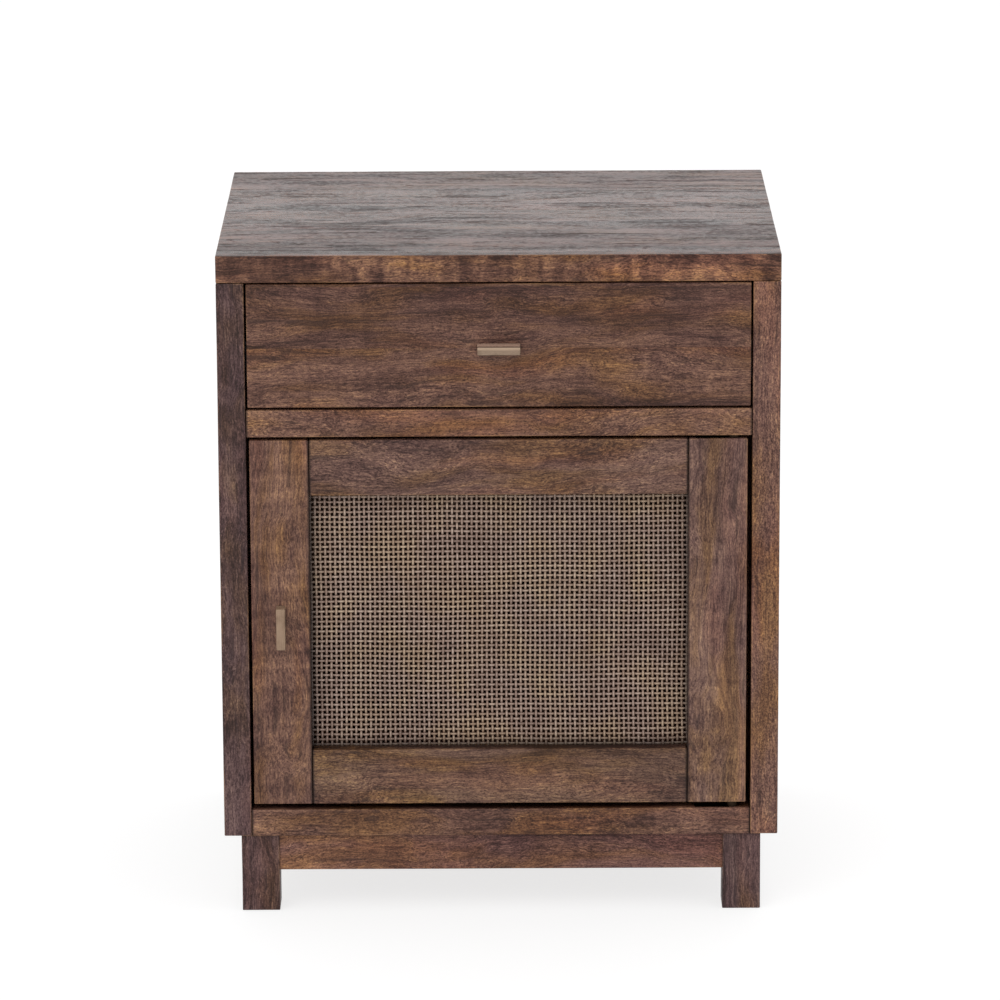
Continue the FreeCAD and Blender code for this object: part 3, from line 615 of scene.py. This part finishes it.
panel, = solids("back_panel")
painted(stained("back_panel_wood", panel, "zxy", 25.0, 0.45, streak=0.3), panel)
zinc = metal("zinc_plating", shade(196, 198, 200), shade(140, 142, 146), 0.34)
SMALL_HEAD_R = 0.003
SCREWS_PER_SIDE = 4
PANEL_SCREW_L = 0.018
low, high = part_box("back_panel_screws")
rise = (high.z - low.z - 2 * SMALL_HEAD_R) / (SCREWS_PER_SIDE - 1)
places = [
    Vector((x, high.y, low.z + SMALL_HEAD_R + n * rise))
    for x in (low.x + SMALL_HEAD_R, high.x - SMALL_HEAD_R)
    for n in range(SCREWS_PER_SIDE)
]
row = drive("back_panel_screw_row", flat_screw(SMALL_HEAD_R, PANEL_SCREW_L), places, (0, -1, 0))
fitted(row, zinc, "case", "zinc_plated_steel", "back_panel_screws")


# Legs and aprons of the base: square legs with the grain upright, stained darker than the case.
# The aprons are tenoned between them a little behind their faces, with the grain along.
for place, seed, tone in (
    ("front_left", 31.0, 0.325),
    ("front_right", 33.0, 0.39),
    ("back_left", 35.0, 0.3),
    ("back_right", 37.0, 0.3),
):
    low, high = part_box(place + "_leg")
    leg = block_out(place + "_post", low, high)
    sand(leg, 2 * UNEVEN)
    patches = [blotch(low.x, 0.03, 0.007, 0.2, -0.2, 0.1)] if place == "front_right" else []
    finish = stained(place + "_leg_wood", leg, "zxy", seed, tone, patches=patches, cast=SMOKED,
                     open_grain=0.6)
    fitted(leg, finish, "case", "stained_wood", place + "_leg")
for place, lie, seed in (
    ("front", "xzy", 41.0),
    ("back", "xzy", 43.0),
    ("left", "yzx", 45.0),
    ("right", "yzx", 47.0),
):
    low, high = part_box(place + "_apron")
    apron = block_out(place + "_apron_board", low, high)
    sand(apron)
    patches = [((-0.18, low.y, 0.05), (0.07, 0.05, 0.05), 0.16)] if place == "front" else []
    finish = stained(place + "_apron_wood", apron, lie, seed, 0.45, patches=patches,
                     cast=(1.03, 0.98, 1.13))
    fitted(apron, finish, "case", "stained_wood", place + "_apron")


# Screws of the base: zinc-plated steel, driven down through the bottom board into the legs.
# Their countersunk heads lie flush inside the cupboard.
LARGE_HEAD_R = 0.005
BASE_SCREW_L = 0.055
low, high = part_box("base_screws")
places = [
    Vector((x, y, high.z))
    for x in (low.x + LARGE_HEAD_R, high.x - LARGE_HEAD_R)
    for y in (low.y + LARGE_HEAD_R, high.y - LARGE_HEAD_R)
]
row = drive("base_screw_row", flat_screw(LARGE_HEAD_R, BASE_SCREW_L), places, (0, 0, -1))
fitted(row, zinc, "case", "zinc_plated_steel", "base_screws")


# Dowels of the case joints: plain beech pegs, glued into holes in the boards.
# They are out of sight once the case is together.
BEECH = ((0.0, shade(122, 90, 66)), (0.5, shade(170, 134, 102)), (1.0, shade(204, 170, 134)))
pegs, = solids("case_dowels")
painted(stained("dowel_beech", pegs, "xyz", 29.0, 0.6, colours=BEECH), pegs)


# Case half of the drawer runners: steel channels plated in black zinc.
# Two countersunk screws hold each of them to the inside of its side board.
def runner_screws(name, node, x, along, length, body):
    """Pair of countersunk screws in one runner, their heads at x."""
    low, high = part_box(node)
    places = [Vector((x, y, (low.z + high.z) / 2)) for y in (low.y + SMALL_HEAD_R, high.y - SMALL_HEAD_R)]
    row = drive(name, flat_screw(SMALL_HEAD_R, length), places, along)
    fitted(row, zinc, body, "zinc_plated_steel", node)


RAIL_SCREW_L = 0.014
black_zinc = metal("black_zinc_plating", shade(76, 76, 78), shade(44, 44, 46), 0.42)
painted(black_zinc, *solids("left_runner_rail", "right_runner_rail"))
low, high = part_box("runner_rail_screws")
for side, x, along in (
    ("left", low.x + RAIL_SCREW_L, (-1, 0, 0)),
    ("right", high.x - RAIL_SCREW_L, (1, 0, 0)),
):
    runner_screws(side + "_rail_screw_row", "runner_rail_screws", x, along, RAIL_SCREW_L, "case")


# Drawer box: boards of plain lacquered wood, housed into each other at the corners.
# A thin plywood bottom runs in grooves in them.
for node, lie, seed in (
    ("left_drawer_side", "yzx", 71.0),
    ("right_drawer_side", "yzx", 73.0),
    ("drawer_back", "xzy", 75.0),
    ("drawer_bottom", "xyz", 77.0),
):
    board, = solids(node)
    finish = stained(node + "_wood", board, lie, seed, 0.5, colours=BEECH, streak=0.3,
                     cast=(1.0, 0.97, 1.12))
    painted(finish, board)


# Drawer half of the runners: steel channels screwed to the box, and plated cages between the two
# halves. The cages hold polished steel balls and roll out half as far as the drawer.
SLIDE_SCREW_L = 0.009
painted(black_zinc, *solids("left_runner_slide", "right_runner_slide", "left_ball_cage", "right_ball_cage"))
low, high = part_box("runner_slide_screws")
for side, x, along in (("left", low.x, (1, 0, 0)), ("right", high.x, (-1, 0, 0))):
    runner_screws(side + "_slide_screw_row", "runner_slide_screws", x, along, SLIDE_SCREW_L, "drawer")

BALL_R = 0.00235
half_size = Vector((BALL_R, BALL_R, BALL_R))
ball = block_out("ball", -half_size, half_size)
bpy.ops.object.mode_set(mode="EDIT")
bpy.ops.mesh.select_all(action="SELECT")
bpy.ops.mesh.subdivide(number_cuts=5)
bpy.ops.object.mode_set(mode="OBJECT")
ground = ball.modifiers.new("ground", "CAST")
ground.cast_type = "SPHERE"
ground.factor = 1.0
ground.use_radius_as_size = False
ground.size = BALL_R
bpy.ops.object.modifier_apply(modifier="ground")
low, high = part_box("runner_balls")
places = [
    Vector((x, y, z))
    for x in (low.x + BALL_R, high.x - BALL_R)
    for y in (low.y + BALL_R, (low.y + high.y) / 2, high.y - BALL_R)
    for z in (low.z + BALL_R, high.z - BALL_R)
]
balls = drive("ball_set", ball, places, (0, 0, -1))
polished = metal("polished_steel", shade(214, 214, 216), shade(180, 180, 184), 0.2)
fitted(balls, polished, "ball_cages", "zinc_plated_steel", "runner_balls")


# Drawer front: two stained boards edge-glued at half height, the grain from side to side.
# It is inset between the side boards and closes the front of the drawer box.
DRAWER_STAVE_W = 0.0555
GLUE_LINE_Z = 0.5228
low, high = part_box("drawer_front")
board = block_out("drawer_face", low, high)
sand(board)
patches = [
    blotch(0.0, 0.56, 0.4, 0.035, -0.03),
    blotch(0.14, 0.55, 0.09, 0.02, -0.06),
    blotch(0.17, 0.5, 0.05, 0.02, 0.06),
    blotch(0.15, 0.473, 0.07, 0.005, -0.14),
]
finish = stained("drawer_front_wood", board, "xzy", 51.0, 0.4, staves=(DRAWER_STAVE_W, GLUE_LINE_Z),
                 patches=patches)
fitted(board, finish, "drawer", "stained_wood", "drawer_front")


# Drawer pull: a solid square bar of antique brass, with a painted highlight on its upper front and painted
# reflections along its top.
# Two machine screws hold it from behind, through the drawer front.
BAR_EASE = 0.0008


def brass_bar(name, node):
    """Square bar with softly broken edges."""
    bar = block_out(name, *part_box(node))
    bpy.ops.object.mode_set(mode="EDIT")
    bpy.ops.mesh.select_all(action="SELECT")
    bpy.ops.mesh.bevel(offset=BAR_EASE, segments=3, affect="EDGES")
    bpy.ops.object.mode_set(mode="OBJECT")
    bpy.ops.object.shade_smooth_by_angle(angle=SMOOTH)
    return bar


PAN_HEAD_R = 0.004
PAN_HEAD_H = 0.0024
PAN_SLOT = 0.0008
PAN_DOME = 0.4 * PAN_HEAD_H
PAN_SLOT_FLOOR = 0.55 * PAN_HEAD_H


def pan_screw(length):
    """Machine screw with a domed slotted head on height zero and its shank below."""
    bpy.ops.object.select_all(action="DESELECT")
    bpy.ops.mesh.primitive_cylinder_add(
        vertices=20, radius=PAN_HEAD_R, depth=PAN_HEAD_H, location=(0, 0, PAN_HEAD_H / 2))
    screw = bpy.context.object
    bpy.ops.object.transform_apply(location=True, rotation=True, scale=True)
    pick_faces(screw, lambda face: face.normal.z > FACING)
    bpy.ops.mesh.bevel(offset=PAN_DOME, segments=3, affect="EDGES")
    bpy.ops.object.mode_set(mode="OBJECT")
    pick_faces(screw, lambda face: face.normal.z < -FACING)
    bpy.ops.mesh.inset(thickness=PAN_HEAD_R / 2)
    bpy.ops.mesh.extrude_region_move(TRANSFORM_OT_translate={"value": (0, 0, -length)})
    bpy.ops.object.mode_set(mode="OBJECT")
    slot_low = Vector((-PAN_HEAD_R, -PAN_SLOT / 2, PAN_SLOT_FLOOR))
    saw_away(screw, slot_low, Vector((PAN_HEAD_R, PAN_SLOT / 2, 2 * PAN_HEAD_H)))
    return screw


def pull_screws(name, node, axis, body):
    """Pair of machine screws at the two ends of a pull along an axis, their heads behind its board."""
    low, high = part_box(node)
    seat_y = high.y - PAN_HEAD_H
    places = []
    for end in (low[axis] + PAN_HEAD_R, high[axis] - PAN_HEAD_R):
        place = Vector(((low.x + high.x) / 2, seat_y, (low.z + high.z) / 2))
        place[axis] = end
        places.append(place)
    pair = drive(name, pan_screw(seat_y - low.y), places, (0, -1, 0))
    fitted(pair, zinc, body, "zinc_plated_steel", node)


def paint_light_on_bar(finish, bar):
    """Paint light on a bar: a highlight on its upper front, a lighter top face, and a dark reflection along
    its top front edge.
    """
    tree = finish.node_tree
    base = tree.nodes["Principled BSDF"].inputs["Base Color"]
    parts = wire(tree, "SeparateXYZ", {0: wire(tree, "TexCoord").outputs["Object"]}).outputs
    low, high = extent(bar)
    front, top = low.y, high.z
    # Painted highlight on the upper front of the bar.
    wear_and_painted_highlight = span(tree, parts[2], top - 0.0042, top - 0.0018, 0.0, 0.75)
    colour = tint(tree, wear_and_painted_highlight, base.links[0].from_socket, shade(178, 153, 129))
    # Painted reflection: the top face made lighter, as if lit from overhead.
    painted_top_light = span(tree, parts[2], top - 0.0004, top - 0.0001, 0.0, 0.9)
    colour = tint(tree, painted_top_light, colour, shade(168, 137, 120))
    # Painted reflection: a dark line along the top front edge.
    rim = span(tree, parts[2], top - 0.0015, top - 0.0009, 0.0, 0.85)
    line = calc(tree, "MULTIPLY", rim, span(tree, parts[1], front + 0.0016, front + 0.001, 0.0, 1.0))
    tree.links.new(tint(tree, line, colour, shade(78, 56, 44)), base)


brass = metal("antique_brass", shade(138, 117, 99), shade(108, 88, 72), 0.55, (60.0, 900.0, 900.0), 0.3)
bar = brass_bar("drawer_bar", "drawer_pull")
paint_light_on_bar(brass, bar)
fitted(bar, brass, "drawer", "antique_brass", "drawer_pull")
pull_screws("drawer_pull_screw_pair", "drawer_pull_screws", 0, "drawer")


# Door frame: stiles with upright grain run the full height and rails are tenoned between them.
# Each joint shows a fine line where the eased edges meet. A rebate behind takes the cane.
left_inner_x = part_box("left_stile")[1].x
right_inner_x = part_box("right_stile")[0].x
cane_low, cane_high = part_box("cane_panel")
left_joint, right_joint = ("x", left_inner_x), ("x", right_inner_x)
# Painted shade on the ledge of the bottom rail below the cane, which lies in shadow inside the rebate.
ledge_middle = ((left_inner_x + right_inner_x) / 2, front_y + 0.012, cane_low.z + 0.009)
ledge_painted_shade = ledge_middle, (0.3, 0.01, 0.008), -0.5
door_members = (
    ("left_stile", "left_door_upright", "zxy", 61.0, 0.47, {
        "curl": 0.7, "open_grain": 0.7, "cast": (0.985, 1.0, 1.02), "seams": [left_joint],
        "patches": [blotch(-0.19, 0.37, 0.03, 0.1, 0.1)]}),
    ("right_stile", "right_door_upright", "zxy", 63.0, 0.5, {
        "curl": 0.5, "open_grain": 0.7, "cast": (0.975, 1.08, 1.22), "seams": [right_joint],
        "patches": [blotch(0.2, 0.22, 0.06, 0.1, 0.05)]}),
    ("top_rail", "top_door_cross_piece", "xzy", 65.0, 0.46, {
        "curl": 0.2, "streak": 0.34, "cast": (0.96, 1.035, 1.115), "seams": [left_joint, right_joint],
        "patches": [blotch(0.09, 0.395, 0.1, 0.02, 0.08)]}),
    ("bottom_rail", "bottom_door_cross_piece", "xzy", 67.0, 0.465, {
        "curl": 0.2, "streak": 0.34, "cast": (0.91, 1.0, 0.96), "seams": [left_joint, right_joint],
        "patches": [blotch(0.16, 0.13, 0.04, 0.04, -0.12), ledge_painted_shade]}),
)
for node, name, lie, seed, tone, looks in door_members:
    low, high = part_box(node)
    if "rail" in node:
        low.x = left_inner_x
        high.x = right_inner_x
    board = block_out(name, low, high)
    saw_away(board, cane_low, Vector((cane_high.x, high.y + OVERCUT, cane_high.z)))
    sand(board)
    fitted(board, stained(node + "_wood", board, lie, seed, tone, **looks), "door", "stained_wood", node)


# Cane: split rattan woven one over, one under, and stretched in the rebate of the door frame.
# The strands lie a little crooked, and each has its own shade between grey and honey.
STRAND_W = 0.0019
STRAND_T = 0.00066
HEXAGON_FLATS = 0.866
LIFT = 0.00035
COLUMNS = 80
ROWS = 54
HELD_BACK = 0.006
WELD = 0.00001
STRAND_SMOOTH = radians(20)
column_pitch = (cane_high.x - cane_low.x - HELD_BACK) / COLUMNS
row_pitch = (cane_high.z - cane_low.z - HELD_BACK) / ROWS
cane_mid = (cane_low + cane_high) / 2


def repeated(piece, count, step, weld=False):
    """Repeat a piece by a step, welded end to end where asked."""
    run = piece.modifiers.new("run", "ARRAY")
    run.count = count
    run.use_relative_offset = False
    run.use_constant_offset = True
    run.constant_offset_displace = step
    run.use_merge_vertices = weld
    run.merge_threshold = WELD
    bpy.ops.object.modifier_apply(modifier="run")


def crimped(name, crossings, pitch, x):
    """One upright strand at x: a flat six-sided section drawn up in waves, and closed at its ends."""
    bpy.ops.object.select_all(action="DESELECT")
    bpy.ops.mesh.primitive_circle_add(
        vertices=6, radius=0.5, fill_type="NGON", rotation=(0, 0, radians(30)))
    strand = bpy.context.object
    strand.name = name
    strand.data.name = name
    bpy.ops.object.transform_apply(location=True, rotation=True, scale=True)
    bpy.ops.object.mode_set(mode="EDIT")
    bpy.ops.mesh.select_all(action="SELECT")
    bpy.ops.transform.resize(value=(STRAND_W, STRAND_T / HEXAGON_FLATS, 1.0))
    bpy.ops.transform.translate(value=(x, -LIFT, -(crossings / 2 - 0.25) * pitch))
    for lifts in (0.0, 2.0, 0.0, -2.0):
        rise = {"value": (0.0, lifts * LIFT, pitch / 2)}
        bpy.ops.mesh.extrude_region_move(TRANSFORM_OT_translate=rise)
    bpy.ops.object.mode_set(mode="OBJECT")
    pick_faces(strand, lambda face: abs(face.normal.z) > FACING)
    bpy.ops.mesh.delete(type="ONLY_FACE")
    bpy.ops.object.mode_set(mode="OBJECT")
    repeated(strand, crossings // 2, (0, 0, 2 * pitch), weld=True)
    bpy.ops.object.mode_set(mode="EDIT")
    bpy.ops.mesh.select_all(action="SELECT")
    bpy.ops.mesh.fill_holes(sides=6)
    bpy.ops.mesh.select_all(action="SELECT")
    bpy.ops.mesh.normals_make_consistent(inside=False)
    bpy.ops.object.mode_set(mode="OBJECT")
    return strand


def strands(name, crossings, pitch, copies, spacing):
    """Upright strands side by side about the origin, every second one waving the other way."""
    strand = crimped(name, crossings, pitch, -(copies - 1) / 2 * spacing)
    repeated(strand, copies // 2, (2 * spacing, 0, 0))
    bpy.ops.object.duplicate()
    bpy.ops.object.mode_set(mode="EDIT")
    bpy.ops.mesh.select_all(action="SELECT")
    bpy.ops.transform.resize(value=(1, -1, 1), center_override=(0, 0, 0))
    bpy.ops.transform.translate(value=(spacing, 0, 0))
    bpy.ops.mesh.flip_normals()
    bpy.ops.object.mode_set(mode="OBJECT")
    strand.select_set(True)
    bpy.context.view_layer.objects.active = strand
    bpy.ops.object.join()
    return strand


def lay_in_door(strand, turn):
    """Turn strands to their direction, set them in the rebate, and let them wander a little."""
    strand.rotation_euler = (0, turn, 0)
    strand.location = cane_mid
    bpy.ops.object.transform_apply(location=True, rotation=True, scale=True)
    for axis, width, slack in (
        ("X", 0.09, 0.0022),
        ("Z", 0.07, 0.0022),
        ("X", 0.012, 0.0003),
        ("Z", 0.011, 0.0003),
    ):
        drift = bpy.data.textures.new("cane_drift", "CLOUDS")
        drift.noise_scale = width
        wander = strand.modifiers.new("wander", "DISPLACE")
        wander.texture = drift
        wander.texture_coords = "GLOBAL"
        wander.direction = axis
        wander.strength = slack
        wander.mid_level = 0.5
        bpy.ops.object.modifier_apply(modifier="wander")
    bpy.ops.object.shade_smooth_by_angle(angle=STRAND_SMOOTH)


RATTAN = ((0.0, shade(84, 65, 55)), (0.45, shade(141, 119, 106)), (1.0, shade(185, 165, 150)))
DIPPED_STRAND_SHADE = shade(80, 48, 30)
FRAME_SHADOW = shade(40, 30, 28)
LAP = 0.0095
shadows = (
    (0, left_inner_x, 0.0055, 0.85),
    (0, right_inner_x, -0.0035, 0.7),
    (2, cane_high.z - LAP, -0.004, 0.5),
    (2, cane_low.z + LAP, 0.007, 0.7),
)


def rattan(name, lie, pitch, middle, seed):
    """Split cane: a tone for each strand, fine fibres along it, weathered patches, painted shade where
    strands dip behind, and painted shadow at the frame.
    """
    finish, tree, place = begun(name)
    parts = wire(tree, "SeparateXYZ", {0: place}).outputs
    along, across, through = (parts["xyz".index(axis)] for axis in lie)
    chance = lot(tree, across, middle, pitch, seed)
    laid = wire(tree, "CombineXYZ", {0: calc(tree, "ADD", along, chance), 1: across, 2: through}).outputs[0]
    weathered = mottle(tree, place, (22.0, 22.0, 22.0), 3.0, 0.6)
    lengths = mottle(tree, laid, (60.0, 150.0, 10.0), 2.0)
    fibres = mottle(tree, laid, (160.0, 3200.0, 1500.0), 2.0)
    value = calc(tree, "MULTIPLY_ADD", chance, 0.2, 0.45)
    for pattern, amount in ((weathered, 0.2), (lengths, 0.35), (fibres, 0.25)):
        value = vary(tree, value, pattern, amount)
    colour = toned(tree, value, RATTAN)
    # Painted shade: darker where a strand dips behind the crossing ones.
    dipped_shade = span(tree, through, cane_mid.y - LIFT - STRAND_T / 2, cane_mid.y + LIFT, 0.0, 1.0)
    colour = tint(tree, dipped_shade, colour, DIPPED_STRAND_SHADE)
    for full, hue in ((0.8, (1.02, 1.0, 0.84, 1.0)), (0.1, (0.96, 0.96, 1.0, 1.0))):
        colour = tint(tree, span(tree, weathered, 0.4, full, 0.0, 1.0), colour, hue, "MULTIPLY")
    for axis, edge, reach, amount in shadows:
        colour = tint(tree, span(tree, parts[axis], edge, edge + reach, amount, 0.0), colour, FRAME_SHADOW)
    coated(finish, colour, span(tree, fibres, 0.0, 1.0, 0.62, 0.46), fibres, 0.3, 0.0002)
    return finish


uprights = strands("cane_uprights", ROWS, row_pitch, COLUMNS, column_pitch)
lay_in_door(uprights, 0.0)
finish = rattan("upright_cane", "zxy", column_pitch, cane_mid.x, 2.0)
fitted(uprights, finish, "door", "cane", "cane_panel")
crossers = strands("cane_crossers", COLUMNS, column_pitch, ROWS, row_pitch)
lay_in_door(crossers, radians(90))
finish = rattan("cross_cane", "xzy", row_pitch, cane_mid.z, 5.0)
fitted(crossers, finish, "door", "cane", "cane_panel")


# Beads: thin mitred strips of the same stained wood, set in behind the cane.
# They hold it in the rebate of the door frame.
for edge, lie, seed in (
    ("top", "xzy", 81.0),
    ("bottom", "xzy", 83.0),
    ("left", "zxy", 85.0),
    ("right", "zxy", 87.0),
):
    bead, = solids(edge + "_cane_bead")
    painted(stained(edge + "_cane_bead_wood", bead, lie, seed, 0.42), bead)


# Door pull: the same brass bar, upright on the left stile and evenly dull.
# Two machine screws hold it from behind, through the stile.
upright_brass = metal(
    "upright_antique_brass", shade(147, 123, 102), shade(116, 93, 74), 0.55, (900.0, 900.0, 60.0), 0.3)
bar = brass_bar("door_bar", "door_pull")
fitted(bar, upright_brass, "door", "antique_brass", "door_pull")
pull_screws("door_pull_screw_pair", "door_pull_screws", 2, "door")


# Pivot hinges: darkened brass leaves let into the divider, the bottom board and both ends of the
# right stile, each pair turning on a pin with a washer in the gap.
dark_brass = metal("darkened_brass", shade(54, 44, 36), shade(32, 27, 24), 0.42)
for place in ("upper", "lower"):
    hinge = solids(place + "_case_hinge_leaf", place + "_door_hinge_leaf", place + "_hinge_pin")
    painted(dark_brass, *hinge)
painted(dark_brass, *solids("hinge_washers", "case_hinge_screws", "door_hinge_screws"))


# Magnetic catch: a brown moulded housing with two steel poles under the divider, and a steel strike
# plate screwed to the back of the door's top rail.
def moulded(name, dark, light):
    """Moulded plastic with a fine spark-eroded grain."""
    finish, tree, place = begun(name)
    grain = mottle(tree, place, (1800.0, 1800.0, 1800.0), 2.0)
    flow = mottle(tree, place, (60.0, 60.0, 60.0), 2.0)
    colour = tint(tree, span(tree, flow, 0.0, 1.0, 0.0, 0.5), dark, light)
    coated(finish, colour, span(tree, grain, 0.0, 1.0, 0.42, 0.58), grain, 0.2, 0.0001)
    return finish


painted(moulded("brown_moulding", shade(58, 40, 30), shade(78, 56, 42)), *solids("magnetic_catch"))
painted(zinc, *solids("catch_magnet", "catch_screws", "strike_plate", "strike_screw"))


# Floor, light and camera: a pale floor in a white studio, lit softly from above and in front.
# The camera stands well back with a long lens, looks down on the top, and is tilted a touch.
WHITE = (1.0, 1.0, 1.0, 1)
FLOOR_SIZE = 40
FLOOR_MIDDLE = (0, 8, 0)
FLOOR_LOOKS = {
    "Base Color": (0.22, 0.22, 0.22, 1),
    "Roughness": 0.8,
    "Emission Color": WHITE,
    "Emission Strength": 0.76,
}
bpy.ops.object.select_all(action="DESELECT")
bpy.ops.mesh.primitive_plane_add(size=FLOOR_SIZE, location=FLOOR_MIDDLE)
floor = bpy.context.object
floor.name = "studio_floor"
finish = bpy.data.materials.new("studio_floor_paint")
finish.use_nodes = True
for socket, value in FLOOR_LOOKS.items():
    finish.node_tree.nodes["Principled BSDF"].inputs[socket].default_value = value
floor.data.materials.append(finish)
floor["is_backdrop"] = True

studio = bpy.data.worlds.new("white_studio")
studio.use_nodes = True
studio.node_tree.nodes["Background"].inputs["Color"].default_value = WHITE
studio.node_tree.nodes["Background"].inputs["Strength"].default_value = 0.97
bpy.context.scene.world = studio

LIT_POINT = Vector((0, 0, 0.3))
for name, at, size, power in (
    ("front_softbox", (-1.6, -3.0, 3.0), 2.4, 45.0),
    ("overhead_softbox", (0.6, 0.5, 3.6), 3.0, 30.0),
):
    bpy.ops.object.light_add(type="AREA", location=at)
    lamp = bpy.context.object
    lamp.name = name
    lamp.data.size = size
    lamp.data.energy = power
    lamp.rotation_euler = (LIT_POINT - Vector(at)).to_track_quat("-Z", "Y").to_euler()

CAMERA_AT = (-0.003, -5.171, 1.626)
PITCH, YAW, ROLL = radians(75.992), radians(-0.04), radians(-0.26)
bpy.ops.object.camera_add(location=CAMERA_AT)
camera = bpy.context.object
camera.data.sensor_width = 36.0
camera.data.lens = 207.4
camera.data.clip_end = 100.0
level = Euler((PITCH, 0.0, YAW)).to_matrix()
camera.rotation_euler = (level @ Matrix.Rotation(ROLL, 3, "Z")).to_euler()
bpy.context.scene.camera = camera
bpy.context.scene.view_settings.view_transform = "Standard"

low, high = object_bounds()
